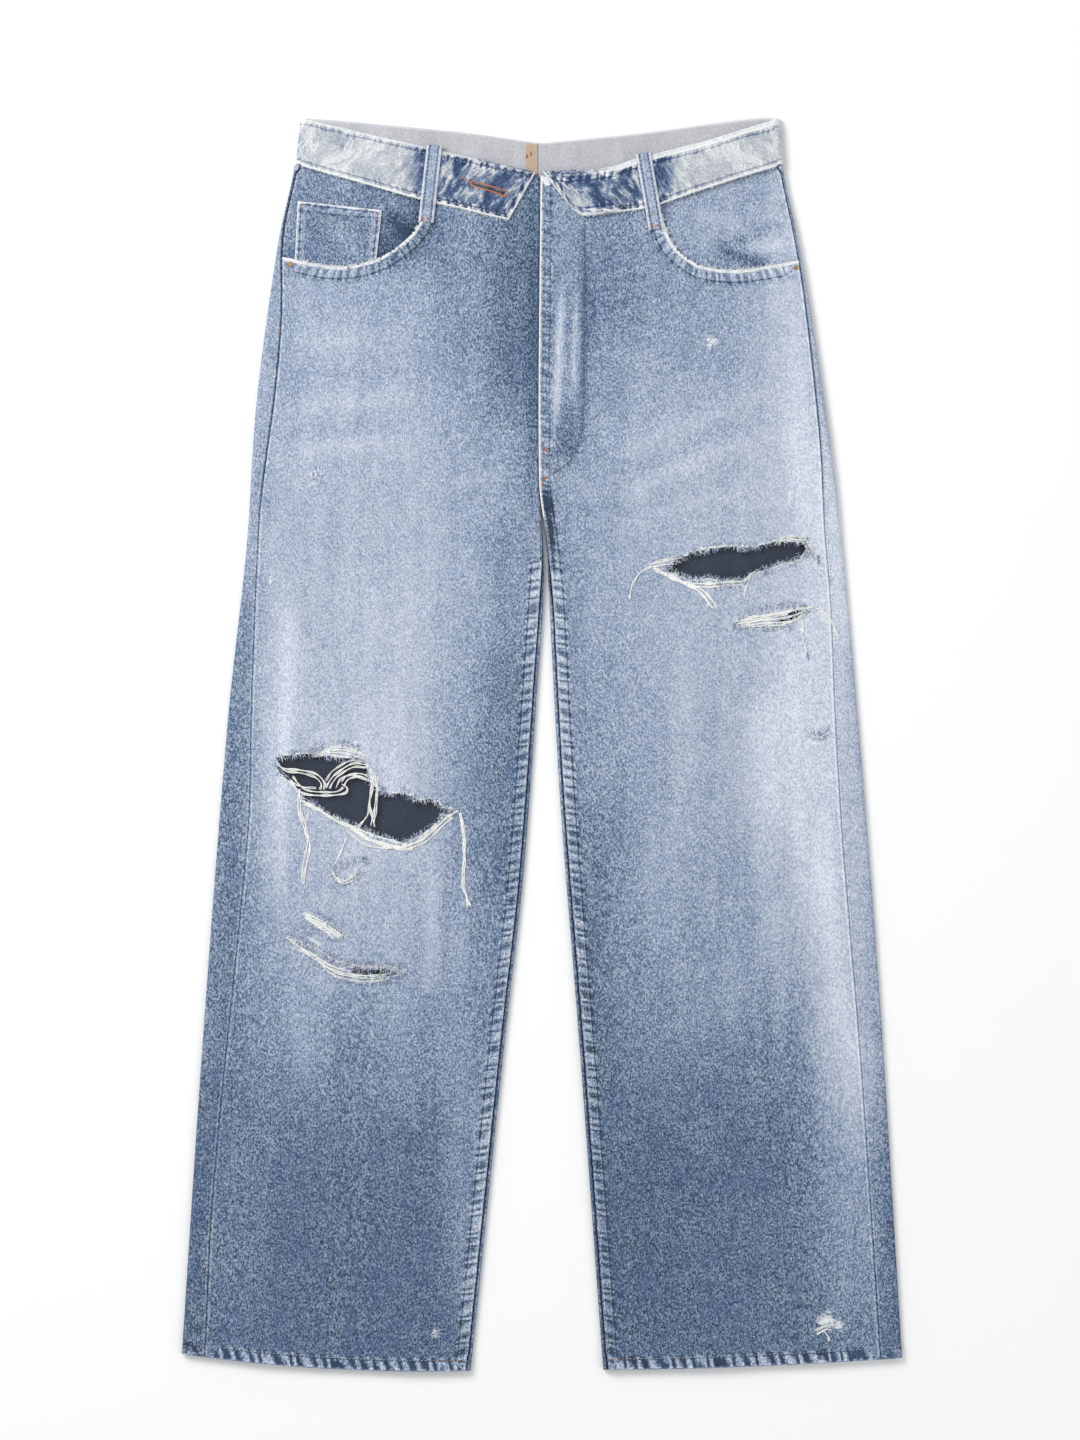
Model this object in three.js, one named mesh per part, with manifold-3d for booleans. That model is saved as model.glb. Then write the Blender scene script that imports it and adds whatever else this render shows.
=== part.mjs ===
// Ripped wide-leg jeans, laid flat on a surface with the front up and the waist towards +Y.
// Millimetres, +Z up, X to the right of someone who looks at the front with the waist at the top.
import * as THREE from 'three';
import { mergeVertices } from 'three/addons/utils/BufferGeometryUtils.js';
import Module from 'manifold-3d';

const wasm = await Module();
wasm.setup();

// Cloth, seams and trims
const DENIM = 1.2; // one layer of denim
const BAND = 2.4; // the waistband, sewn double
const HEM = 2.6; // the turned-up hem
const HEM_DEPTH = 13;
const SEAM_GAP = 0.3;
const SIDE_SEAM_GAP = 0.6; // the side seams curve, so their two edges keep a little more
const LOOP_WIDTH = 13;
const LOOP_THICKNESS = 2;
const TRIM = 1.2; // back pockets and back loops

// How the layers lie on each other
const BACK_LIFT = TRIM + SEAM_GAP; // the back lies on its own pockets and loops
const HIP_GAP = 3.6; // clear space between back and front at the hips
const LEG_GAP = 3; // the same in the legs
const EDGE_BLEND = 26; // the soft folds die out this far from an edge
const FACING_DROP = DENIM + SEAM_GAP; // the pocket facing lies under the front panel
const FRONT_TOP_INSET = 3.6; // the front panel stops this far below the band's fold

// Lengths along the garment, measured from its middle
const WAIST_SIDE = 531.3; // top of the side
const WAIST_CENTRE = 485.4; // fold of the front at the centre
const BAND_SIDE_FOOT = 491.5; // lower edge of the band at the sides
const BAND_BACK_FOOT = 476; // lower edge of the band at the centre back
const HEM_SIDE = { left: -517.7, right: -521.1 };
const HEM_INNER = { left: -532.1, right: -531.3 };
const HEM_SAG = { left: 5.3, right: 2.2 }; // how far the hem's middle hangs past the line of its ends
const LIFT_STARTS = 160; // the back rises from the surface onto its pockets between these two
const LIFT_ENDS = 232;
const HIP_STARTS = 90; // the clear space widens from legs to hips between these two
const HIP_ENDS = 190;
const CROTCH_CLOSED = 105; // below here the back layer turns up to the inseam
const CROTCH_OPEN = 205; // above here it ends flat at the centre back
const LEAST_TURN = 0.12; // the back layer's turn there, in radians

// Widths as [length along the garment, distance across] where the line turns
const OUTLINE = {
  left: [[-518, -306.4], [-252, -288.6], [20, -267.3], [169, -251.2], [292, -242.7], [428, -224], [483, -212],
    [531, -205.3]],
  right: [[-521, 305.6], [-184, 284.3], [88, 262.2], [224, 248.6], [360, 229.1], [428, 217.2], [483, 205.3],
    [531, 201]],
};
const INNER_EDGE = {
  left: [[-532, -60.8], [-252, -31.9], [-116, -16.6], [54, -3.8], [146, 1.6], [225, -3.4], [485, -2.1]],
  right: [[-531, 51.4], [-252, 31], [-48, 14.9], [122, 5.5], [176, 2.4], [225, -3.1], [485, -1.8]],
};
// The side seam's distance in from the outline
const SEAM_OFFSET = {
  left: [[-509, 20], [-388, 18], [-71, 25.5], [27, 20], [186, 9.5], [294, 15], [363, 12.5], [428, 3.5],
    [484, 2.2], [491, 5.4], [531, 5.4]],
  right: [[-517, 19], [-284, 20], [-94, 22], [13, 20], [122, 15], [185, 14], [255, 9], [359, 4.6], [428, 2.8],
    [484, 2.2], [491, 5.4], [531, 5.4]],
};

// Waistband: the fold along the top of the front, and the free lower edge of each turned-down end
const FOLD_LINE = {
  left: [[-205.3, 531.3], [-99, 506.6], [-5.5, 485.4]],
  right: [[201, 531.3], [137.3, 511.7], [76.9, 496.4], [60.8, 490.5], [42, 487.9], [-0.6, 486.2]],
};
const FREE_EDGE = {
  left: [[-209.5, 491.8], [-95.6, 459.9], [-28.5, 444.6]],
  right: [[204.4, 491.8], [99, 457.3], [85.4, 453.9], [54, 450.5], [33.6, 448], [20.8, 459]],
};
const BACK_BAND_TOP = [[-205.3, 531.3], [-173.8, 529.6], [-101.6, 522.8], [-53.1, 517.7], [-5.5, 510.9],
  [14.9, 511.7], [82.9, 518.5], [133.9, 525.3], [180.6, 531], [201, 531.3]];

// Front pocket openings, from the side seam to the waistband
const POCKET_MOUTH = {
  left: [[-218.9, 413.1], [-175.5, 405.5], [-142.4, 411.4], [-118.6, 425.9], [-105, 442], [-100.7, 458]],
  right: [[218.9, 410.6], [172.1, 402.9], [145.8, 403.8], [128.8, 408.9], [110.9, 424.2], [102.4, 444.5],
    [98, 460]],
};
const FACING_LAP = 16; // how far the facing goes on behind the front panel
const FACING_FOOT_ROW = 0.17; // the part of the leg that the facing's sheet is cut from
const COIN_POCKET = [[-207.8, 460.7], [-136.4, 453.1], [-142.3, 400], [-210.7, 400]];

// Front belt loops, from the fold of the band to their foot
const FRONT_LOOPS = {
  left: { top: [-91.8, 505.5], foot: [-98.8, 443] },
  right: { top: [85.9, 498.8], foot: [96.7, 437] },
};
const LOOP_OVER_FOLD = 2.6; // how far a loop reaches past the fold
const LOOP_ON_BAND = 47.5; // how far down it lies on the band
const LOOP_STEP = 4; // the slope from the band to the panel

// Cutting outlines reach past the cloth to here
const FAR_ACROSS = 260;
const PAST_CENTRE = 20;
const FAR_UP = 620;

// Rips that go right through the front
const RIPS = {
  left: [
    [[-227, -12], [-211, -9], [-170, -12], [-153, -12], [-141, -38], [-130, -42], [-118, -40], [-104, -48],
      [-91, -48], [-74, -56], [-85, -60], [-96, -71], [-109, -80], [-119, -85], [-131, -81], [-165, -68],
      [-181, -61], [-204, -47], [-210, -36], [-223, -24]],
    [[-171, -190], [-145, -189], [-116, -191], [-121, -195], [-145, -196], [-164, -194]],
  ],
  right: [
    [[101, 147], [113, 156], [128, 164], [162, 168], [184, 168], [198, 173], [224, 173], [225, 162],
      [215, 156], [190, 148], [170, 139], [134, 139], [111, 145]],
    [[198, 106], [214, 113], [225, 115], [218, 106], [202, 100]],
  ],
};

// The largest soft folds of the front: [from, to, half width, height]
const FOLDS = [
  [[-215, 339], [-96, 343], 14, 1],
  [[-215, 284], [-104, 292], 14, 1.2],
  [[-215, 246], [-96, 258], 13, 1],
  [[49, 207], [193, 267], 15, 1.2],
  [[49, 241], [185, 297], 13, 1],
  [[-14, 205], [-78, 122], 17, 1.5],
  [[18, 199], [83, 122], 17, 1.5],
  [[-121, 122], [-134, 3], 30, 1.6],
  [[-96, -133], [-104, -560], 28, 2],
  [[-206, -218], [-240, -560], 24, 1.5],
  [[117, 88], [125, -133], 30, 1.8],
  [[134, -218], [151, -560], 30, 2.2],
];

// Hidden side
const YOKE = { side: 452, centre: 412 }; // lower edge of the yoke
const BACK_POCKET = { centre: 118, top: 394, halfTop: 74, halfFoot: 68, straight: 128, point: 22 };
const BACK_LOOPS = { left: -132, centre: -3, right: 128 };
const BACK_LOOP_LENGTH = 56;

// Fastenings
const ZIP = { x: -2.5, foot: 300, top: 454, tape: 15, tapeThickness: 1, chain: 3, chainHeight: 2.2 };
const SLIDER = { foot: 454.3, half: 4.5, body: 10, tab: 2.6, length: 20 };
const BUTTON = { x: 51.4, y: 466.6, radius: 8.5, height: 3.4, clear: 10, slope: 25 };
const RIVET = { left: [-214.2, 407.2], right: [215.4, 404.6], radius: 2.4, height: 1.1 };

// Finishes
const FINISH = {
  denim: new THREE.MeshStandardMaterial({ color: '#9fb0c8', roughness: 0.95, metalness: 0 }),
  paleDenim: new THREE.MeshStandardMaterial({ color: '#b9c0cb', roughness: 0.95, metalness: 0 }),
  darkDenim: new THREE.MeshStandardMaterial({ color: '#64789b', roughness: 0.95, metalness: 0 }),
  metal: new THREE.MeshStandardMaterial({ color: '#b59b62', roughness: 0.4, metalness: 1 }),
};

const jeans = new THREE.Group();

function addPiece(name, geometry, finish) {
  const mesh = new THREE.Mesh(geometry, finish.clone());
  mesh.name = name;
  jeans.add(mesh);
  return mesh;
}

const { lerp, clamp, smoothstep } = THREE.MathUtils;

// A smooth line through a few points [key, value], keys rising, read as the value at a key.
function smoothLine(points) {
  const last = points.length - 1;
  const slope = (i) => {
    const before = points[Math.max(i - 1, 0)];
    const after = points[Math.min(i + 1, last)];
    return (after[1] - before[1]) / (after[0] - before[0]);
  };
  return (key) => {
    const i = clamp(points.findIndex((p) => p[0] > key) - 1, 0, last - 1);
    const start = key > points[last][0] ? last - 1 : i;
    const [x0, y0] = points[start];
    const [x1, y1] = points[start + 1];
    const h = x1 - x0;
    const t = clamp((key - x0) / h, 0, 1);
    const hold = t * t * (3 - 2 * t);
    const rise = t * (1 - t) * h;
    return lerp(y0, y1, hold) + rise * ((1 - t) * slope(start) - t * slope(start + 1));
  };
}

// The point at a fraction of a polyline's length.
function alongLine(points, fraction) {
  const steps = points.slice(1).map((p, i) => Math.hypot(p[0] - points[i][0], p[1] - points[i][1]));
  let rest = fraction * steps.reduce((sum, s) => sum + s, 0);
  let i = 0;
  while (i < steps.length - 1 && rest > steps[i]) {
    rest -= steps[i];
    i += 1;
  }
  const t = rest / steps[i];
  return [lerp(points[i][0], points[i + 1][0], t), lerp(points[i][1], points[i + 1][1], t)];
}

// A closed wall between two equal grids of points.
function wallBetween(outside, inside) {
  const rows = outside.length;
  const columns = outside[0].length;
  const positions = [...outside.flat(), ...inside.flat()].flatMap((p) => [p.x, p.y, p.z]);
  const index = [];
  const outer = (i, j) => i * columns + j;
  const inner = (i, j) => (rows + i) * columns + j;
  const quad = (a, b, c, d) => index.push(a, b, c, a, c, d);
  for (let i = 0; i < rows - 1; i += 1) {
    for (let j = 0; j < columns - 1; j += 1) {
      quad(outer(i, j), outer(i + 1, j), outer(i + 1, j + 1), outer(i, j + 1));
      quad(inner(i, j), inner(i, j + 1), inner(i + 1, j + 1), inner(i + 1, j));
    }
    quad(outer(i, 0), inner(i, 0), inner(i + 1, 0), outer(i + 1, 0));
    quad(outer(i, columns - 1), outer(i + 1, columns - 1), inner(i + 1, columns - 1), inner(i, columns - 1));
  }
  for (let j = 0; j < columns - 1; j += 1) {
    quad(outer(0, j), outer(0, j + 1), inner(0, j + 1), inner(0, j));
    quad(outer(rows - 1, j), inner(rows - 1, j), inner(rows - 1, j + 1), outer(rows - 1, j + 1));
  }
  const geometry = new THREE.BufferGeometry();
  geometry.setAttribute('position', new THREE.Float32BufferAttribute(positions, 3));
  geometry.setIndex(faceOut(positions, index));
  return geometry;
}

// Turns the triangles round where the body would be inside out.
function faceOut(positions, index) {
  const corner = (n) => new THREE.Vector3().fromArray(positions, 3 * n);
  let volume = 0;
  for (let n = 0; n < index.length; n += 3) {
    volume += corner(index[n]).dot(corner(index[n + 1]).cross(corner(index[n + 2])));
  }
  if (volume > 0) return index;
  for (let n = 0; n < index.length; n += 3) [index[n], index[n + 1]] = [index[n + 1], index[n]];
  return index;
}

function toSolid(geometry) {
  const bare = geometry.clone();
  bare.deleteAttribute('normal');
  bare.deleteAttribute('uv');
  const merged = mergeVertices(bare, 1e-4);
  const vertProperties = new Float32Array(merged.attributes.position.array);
  const triVerts = new Uint32Array(merged.index.array);
  return new wasm.Manifold(new wasm.Mesh({ numProp: 3, vertProperties, triVerts }));
}

function toGeometry(solid) {
  const mesh = solid.getMesh();
  const geometry = new THREE.BufferGeometry();
  geometry.setAttribute('position', new THREE.Float32BufferAttribute(mesh.vertProperties, 3));
  geometry.setIndex([...mesh.triVerts]);
  return geometry;
}

// An upright prism with a given outline, much taller than the cloth.
function prism(outline, low = -50, high = 50) {
  const shape = new THREE.Shape(outline.map(([x, y]) => new THREE.Vector2(x, y)));
  const geometry = new THREE.ExtrudeGeometry(shape, { depth: high - low, bevelEnabled: false });
  return geometry.translate(0, 0, low);
}

function cutAway(geometry, outlines) {
  const solid = outlines.reduce((body, outline) => body.subtract(toSolid(prism(outline))), toSolid(geometry));
  return toGeometry(solid);
}

function keepWithin(geometry, outline) {
  return toGeometry(toSolid(geometry).intersect(toSolid(prism(outline))));
}

// Heights of the middle of the cloth
const backHeight = (y) => DENIM / 2 + BACK_LIFT * smoothstep(y, LIFT_STARTS, LIFT_ENDS);
const gapHeight = (y) => lerp(LEG_GAP, HIP_GAP, smoothstep(y, HIP_STARTS, HIP_ENDS));
const frontHeight = (y) => backHeight(y) + DENIM + gapHeight(y);
const FRONT_TOP = frontHeight(WAIST_CENTRE);

function foldHeight(x, y) {
  let height = 0;
  for (const [from, to, halfWidth, rise] of FOLDS) {
    const dx = to[0] - from[0];
    const dy = to[1] - from[1];
    const length = Math.hypot(dx, dy);
    const t = ((x - from[0]) * dx + (y - from[1]) * dy) / (length * length);
    const away = Math.abs((x - from[0]) * dy - (y - from[1]) * dx) / length;
    const ends = smoothstep(t, -0.1, 0.25) * (1 - smoothstep(t, 0.75, 1.1));
    height += rise * ends * Math.exp(-((away / halfWidth) ** 2));
  }
  return height;
}

// One leg with its half of the hips: a flattened tube, ruled between its outer and inner edges.
// A row is a fraction of the way from the waist to the hem.
function makeLeg(side) {
  const outline = smoothLine(OUTLINE[side]);
  const innerEdge = smoothLine(INNER_EDGE[side]);
  const seamOffset = smoothLine(SEAM_OFFSET[side]);
  const length = WAIST_SIDE - HEM_SIDE[side];
  const hemRow = 1 - HEM_DEPTH / length;

  function section(row) {
    const yOut = lerp(WAIST_SIDE, HEM_SIDE[side], row);
    const yIn = lerp(WAIST_CENTRE, HEM_INNER[side], row);
    const start = new THREE.Vector2(outline(yOut), yOut);
    const end = new THREE.Vector2(innerEdge(yIn), yIn);
    const width = start.distanceTo(end);
    const across = end.clone().sub(start).divideScalar(width);
    const extra = row > hemRow ? (HEM - DENIM) / 2 : 0; // half of what the hem adds
    const low = backHeight(yOut) + extra;
    const high = frontHeight(yOut) + extra;
    const radius = (high - low) / 2;
    const half = DENIM / 2 + extra;
    const closed = 1 - smoothstep(yIn, CROTCH_CLOSED, CROTCH_OPEN); // how far the inseam fold is turned up
    const turn = Math.max(closed * Math.PI, LEAST_TURN);
    const foldStart = width - SEAM_GAP / 2 - (radius + half) * Math.sin(Math.min(turn, Math.PI / 2));
    const seam = seamOffset(yOut);
    return { row, start, across, width, low, high, radius, half, closed, turn, foldStart, seam };
  }

  function place(s, distance, z) {
    const f = distance / s.width;
    const sag = HEM_SAG[side] * 4 * f * (1 - f) * s.row ** 6;
    return new THREE.Vector3(s.start.x + s.across.x * distance, s.start.y + s.across.y * distance - sag, z);
  }

  // A point of the front layer; depth is measured outwards from the middle of the cloth.
  function onFront(s, distance, depth) {
    const bend = s.radius + s.half;
    if (distance < bend) {
      const angle = Math.acos(clamp((bend - distance) / s.radius, -1, 1));
      return onOuterFold(s, angle, depth);
    }
    const clear = smoothstep(Math.min(distance, s.width - distance) - bend, 0, EDGE_BLEND);
    const flat = place(s, distance, depth);
    const thicker = s.half - DENIM / 2;
    flat.z += lerp(s.high, frontHeight(flat.y) + thicker + foldHeight(flat.x, flat.y), clear);
    return flat;
  }

  function onBack(s, distance, depth) {
    return place(s, distance, s.low - depth);
  }

  // The angle runs from -90 degrees on the back, through 0 at the outline, to 90 degrees on the front.
  function onOuterFold(s, angle, depth) {
    const reach = s.radius + depth;
    const centre = s.radius + s.half;
    return place(s, centre - reach * Math.cos(angle), s.low + s.radius + reach * Math.sin(angle));
  }

  // The angle runs from 0 on the back to 180 degrees on the front.
  function onInnerFold(s, angle, depth) {
    const reach = s.radius + depth;
    return place(s, s.foldStart + reach * Math.sin(angle), s.low + s.radius - reach * Math.cos(angle));
  }

  return { side, section, onFront, onBack, onOuterFold, onInnerFold, hemRow };
}

function bothSkins(rows, pointsOf) {
  const skin = (sign) => rows.map((s) => pointsOf(s, sign * s.half));
  return wallBetween(skin(1), skin(-1));
}

const range = (count) => Array.from({ length: count + 1 }, (_, i) => i / count);

const FRONT_STEPS = [0, 0.5, 0.8];
const FRONT_COLUMNS = 8;
const HEM_RISE = 0.0004; // the share of the leg's length over which the hem gets thicker

// The front layer from the waist down to a row, with a pair of rows at the hem line
function frontLayer(leg, depthShift, footRow, count) {
  const steps = range(count).map((t) => t * footRow);
  if (footRow === 1) steps.splice(-1, 0, leg.hemRow, leg.hemRow + HEM_RISE);
  const rows = steps.map((row) => leg.section(row));
  const skin = (sign) => rows.map((s) => {
    const first = s.seam;
    const flatFrom = Math.max(first + 2, s.radius + s.half + 1);
    const inset = lerp(SEAM_GAP / 2, s.radius + s.half + 1, s.closed);
    const last = s.width - inset;
    const near = FRONT_STEPS.map((t) => lerp(first, flatFrom, t));
    const far = range(FRONT_COLUMNS).map((t) => lerp(flatFrom, last, t));
    return [...near, ...far].map((d) => leg.onFront(s, d, sign * s.half + depthShift));
  });
  return wallBetween(skin(1), skin(-1));
}

// The back layer from its edge at the side seam, round the outer fold, across, and up to the inseam.
// Each of rowsAt gives the row at a share of the way across.
function backLayer(leg, rowsAt) {
  const arc = range(4);
  const flat = range(5).slice(1);
  const skin = (sign) => rowsAt.map((rowAt) => {
    const side = leg.section(rowAt(0));
    const edge = side.seam - SIDE_SEAM_GAP;
    const bend = side.radius + side.half;
    const open = Math.acos(clamp((bend - edge + 0.3) / side.radius, -1, 1));
    const turnedOver = Math.min(Math.PI / 2, open);
    const foot = turnedOver < Math.PI / 2 ? edge - 0.3 : bend;
    const lap = [0, 0.5].map((t) => leg.onFront(side, Math.max(lerp(edge, foot, t), 0.1), sign * side.half));
    const outer = arc.map((t) => leg.onOuterFold(side, lerp(turnedOver, -Math.PI / 2, t), sign * side.half));
    const under = flat.map((t) => {
      const s = leg.section(rowAt(t));
      return leg.onBack(s, lerp(s.radius + s.half, s.foldStart, t), sign * s.half);
    });
    const inner = leg.section(rowAt(1));
    const upturn = arc.slice(1).map((t) => leg.onInnerFold(inner, inner.turn * t, sign * inner.half));
    return [...lap, ...outer, ...under, ...upturn];
  });
  return wallBetween(skin(1), skin(-1));
}

// Rows that start on the yoke seam or the waist and run evenly to the next seam
function rowsBetween(topAt, footAt, count, extra = []) {
  const steps = [...range(count), ...extra].sort((a, b) => a - b);
  return steps.map((t) => (across) => lerp(topAt(across), footAt(across), t));
}

// What lies above the front's top edge, which stops inside the folded band
function aboveFold(side, sign) {
  const line = FOLD_LINE[side].map(([x, y]) => [x, y - FRONT_TOP_INSET]);
  return [[sign * FAR_ACROSS, line[0][1]], ...line, [-sign * PAST_CENTRE, line.at(-1)[1]],
    [-sign * PAST_CENTRE, FAR_UP], [sign * FAR_ACROSS, FAR_UP]];
}

// All that lies above a line of points from the side inwards
function aboveMouth(line, sign) {
  return [[sign * FAR_ACROSS, line[0][1]], ...line, [line.at(-1)[0] - sign * 2, FAR_UP],
    [sign * FAR_ACROSS, FAR_UP]];
}

function pocketMouth(side) {
  const curve = new THREE.SplineCurve(POCKET_MOUTH[side].map((p) => new THREE.Vector2(...p)));
  return curve.getPoints(14).map((p) => [p.x, p.y]);
}

function buildFront(side, sign) {
  const leg = LEGS[side];
  const mouth = pocketMouth(side);
  const cuts = [aboveFold(side, sign), aboveMouth(mouth, sign), ...RIPS[side]];
  addPiece(`front_${side}`, cutAway(frontLayer(leg, 0, 1, 27), cuts), FINISH.denim);

  const lapped = mouth.map(([x, y]) => [x - sign * FACING_LAP * 0.7, y - FACING_LAP]);
  const sheet = keepWithin(frontLayer(leg, -FACING_DROP, FACING_FOOT_ROW, 7), aboveMouth(lapped, sign));
  addPiece(`pocket_facing_${side}`, cutAway(sheet, [aboveFold(side, sign)]), FINISH.denim);
}

function buildBack(side) {
  const leg = LEGS[side];
  const length = WAIST_SIDE - HEM_SIDE[side];
  const rowAtSide = (y) => (WAIST_SIDE - y) / length;
  const rowAtCentre = (y) => (WAIST_CENTRE - y) / (WAIST_CENTRE - HEM_INNER[side]);
  const rowsAlong = (ySide, yCentre) => {
    const [outer, inner] = [rowAtSide(ySide), rowAtCentre(yCentre)];
    return (across) => lerp(outer, inner, across);
  };
  const waist = rowsAlong(BAND_SIDE_FOOT - SEAM_GAP, BAND_BACK_FOOT - SEAM_GAP);
  const yokeFoot = rowsAlong(YOKE.side, YOKE.centre);
  addPiece(`yoke_${side}`, backLayer(leg, rowsBetween(waist, yokeFoot, 3)), FINISH.denim);

  const backTop = (across) => yokeFoot(across) + SEAM_GAP / length;
  const hemSteps = [leg.hemRow, leg.hemRow + HEM_RISE].map((r) => (r - backTop(0)) / (1 - backTop(0)));
  addPiece(`back_${side}`, backLayer(leg, rowsBetween(backTop, () => 1, 24, hemSteps)), FINISH.denim);
}

const LEGS = { left: makeLeg('left'), right: makeLeg('right') };
buildFront('left', -1);
buildBack('left');
buildFront('right', 1);
buildBack('right');

// The waistband. At each side it turns in a half circle from the back onto the front.
const BAND_LOW = BACK_LIFT + BAND / 2;
const BAND_HIGH = FRONT_TOP + DENIM / 2 + SEAM_GAP + BAND / 2;
const BAND_RADIUS = (BAND_HIGH - BAND_LOW) / 2;
const BAND_MIDDLE = (BAND_HIGH + BAND_LOW) / 2;

// A point on the turn at the side, its angle as on a leg's outer fold
function onBandTurn(edge, sign, angle, depth) {
  const centre = edge[0] - sign * (BAND_RADIUS + BAND / 2);
  const reach = BAND_RADIUS + depth;
  const x = centre + sign * reach * Math.cos(angle);
  return new THREE.Vector3(x, edge[1], BAND_MIDDLE + reach * Math.sin(angle));
}

function buildBackBand() {
  const spine = new THREE.SplineCurve(BACK_BAND_TOP.map((p) => new THREE.Vector2(...p)));
  const depthSteps = range(2);
  const endAngle = Math.asin(SEAM_GAP / 2 / BAND_RADIUS);
  const turns = range(3).map((t) => lerp(-endAngle, -Math.PI / 2, t));
  const edges = {
    left: [BACK_BAND_TOP[0], FREE_EDGE.left[0]],
    right: [BACK_BAND_TOP.at(-1), FREE_EDGE.right[0]],
  };
  const edgeAt = (side, t) => {
    const [top, foot] = edges[side];
    return [lerp(top[0], foot[0], t), lerp(top[1], BAND_SIDE_FOOT, t)];
  };
  const halfWaist = (BACK_BAND_TOP.at(-1)[0] - BACK_BAND_TOP[0][0]) / 2;
  const flatHalf = halfWaist - 13; // outside this the band is on its turns
  const skin = (sign) => depthSteps.map((t) => {
    const left = turns.map((a) => onBandTurn(edgeAt('left', t), -1, a, sign * BAND / 2));
    const right = turns.map((a) => onBandTurn(edgeAt('right', t), 1, a, sign * BAND / 2)).reverse();
    const middle = spine.getPoints(18).filter((p) => Math.abs(p.x) < flatHalf).map((p) => {
      const foot = lerp(BAND_BACK_FOOT, BAND_SIDE_FOOT, Math.abs(p.x) / halfWaist);
      return new THREE.Vector3(p.x, lerp(p.y, foot, t), BAND_LOW - sign * BAND / 2);
    });
    return [...left, ...middle, ...right];
  });
  addPiece('waistband_back', wallBetween(skin(1), skin(-1)), FINISH.paleDenim);
}

const BUTTON_CLEARANCE = 0.5;

// The turned-down ends bulge over the button.
function bulge(x, y) {
  const away = Math.hypot(x - BUTTON.x, y - BUTTON.y);
  return (BUTTON.height + BUTTON_CLEARANCE) * (1 - smoothstep(away, BUTTON.clear, BUTTON.slope));
}

const FOLD_LIP = 3.1; // the fold goes round the front panel's top edge over this length
const BAND_WIDTH = 44;
const TURN_SHARE = 0.045; // the share of an end's length that is on the turn at the side

function buildTurnedEnd(side, sign, steps) {
  const endAngle = Math.asin(SEAM_GAP / 2 / BAND_RADIUS);
  const turns = range(3).map((t) => lerp(endAngle, Math.PI / 2, t));
  const alongs = range(steps).map((t) => lerp(TURN_SHARE, 1, t));
  const downs = [0, FOLD_LIP / BAND_WIDTH, (FOLD_LIP + 0.1) / BAND_WIDTH, 0.35, 0.65, 1];
  const lipUnderside = BAND_LOW + BAND / 2 + 0.6;
  const across = (t, along) => {
    const top = alongLine(FOLD_LINE[side], along);
    const foot = alongLine(FREE_EDGE[side], along);
    return [lerp(top[0], foot[0], t), lerp(top[1], foot[1], t)];
  };
  const skin = (outer) => downs.map((t, row) => {
    const turn = turns.map((a) => onBandTurn(across(t, 0), sign, a, outer ? BAND / 2 : -BAND / 2));
    const rest = alongs.map((along) => {
      const [x, y] = across(t, along);
      const rise = bulge(x, y);
      const under = row < 2 ? lipUnderside : BAND_HIGH - BAND / 2 + rise;
      return new THREE.Vector3(x, y, outer ? BAND_HIGH + BAND / 2 + rise : under);
    });
    return [...turn, ...rest];
  });
  addPiece(`waistband_${side}`, wallBetween(skin(true), skin(false)), FINISH.paleDenim);
}

buildBackBand();
buildTurnedEnd('left', -1, 10);
buildTurnedEnd('right', 1, 24);

// A strip from the fold of the waistband, over the band, and down onto the front panel
function buildFrontLoop(side) {
  const { top, foot } = FRONT_LOOPS[side];
  const direction = new THREE.Vector2(foot[0] - top[0], foot[1] - top[1]).normalize();
  const length = Math.hypot(foot[0] - top[0], foot[1] - top[1]);
  const onBand = BAND_HIGH + BAND / 2 + SEAM_GAP;
  const onPanel = FRONT_TOP + DENIM / 2 + SEAM_GAP;
  const belowFold = onBand - 4;
  // [distance down the loop, its underside, its top]
  const stations = [
    [-LOOP_OVER_FOLD, belowFold, onBand + 1.2],
    [-0.5, belowFold, onBand + LOOP_THICKNESS],
    [-0.4, onBand, onBand + LOOP_THICKNESS],
    [LOOP_ON_BAND / 2, onBand, onBand + LOOP_THICKNESS],
    [LOOP_ON_BAND, onBand, onBand + LOOP_THICKNESS],
    [LOOP_ON_BAND + LOOP_STEP, onPanel, onPanel + LOOP_THICKNESS],
    [length, onPanel, onPanel + LOOP_THICKNESS],
  ];
  const skin = (outer) => stations.map(([s, low, high]) => [-1, 1].map((edge) => {
    const x = top[0] + direction.x * s - direction.y * edge * LOOP_WIDTH / 2;
    const y = top[1] + direction.y * s + direction.x * edge * LOOP_WIDTH / 2;
    return new THREE.Vector3(x, y, outer ? high : low);
  }));
  addPiece(`belt_loop_front_${side}`, wallBetween(skin(true), skin(false)), FINISH.denim);
}

buildFrontLoop('left');
buildFrontLoop('right');

// The coin pocket lies on the left facing, down to the pocket opening, where the front panel covers it.
function buildCoinPocket() {
  const low = FRONT_TOP - FACING_DROP + DENIM / 2 + SEAM_GAP;
  const above = pocketMouth('left').map(([x, y]) => [x, y + SEAM_GAP]);
  const pocket = keepWithin(prism(COIN_POCKET, low, low + DENIM), aboveMouth(above, -1));
  addPiece('coin_pocket', pocket, FINISH.denim);
}

buildCoinPocket();

// Hidden side: pockets and loops under the back
function buildBackPocket(side, sign) {
  const { centre, top, halfTop, halfFoot, straight, point } = BACK_POCKET;
  const x = sign * centre;
  const outline = [[x - halfTop, top], [x - halfFoot, top - straight], [x, top - straight - point],
    [x + halfFoot, top - straight], [x + halfTop, top]];
  addPiece(`back_pocket_${side}`, prism(outline, 0, TRIM), FINISH.denim);
}

buildBackPocket('left', -1);
buildBackPocket('right', 1);

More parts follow.
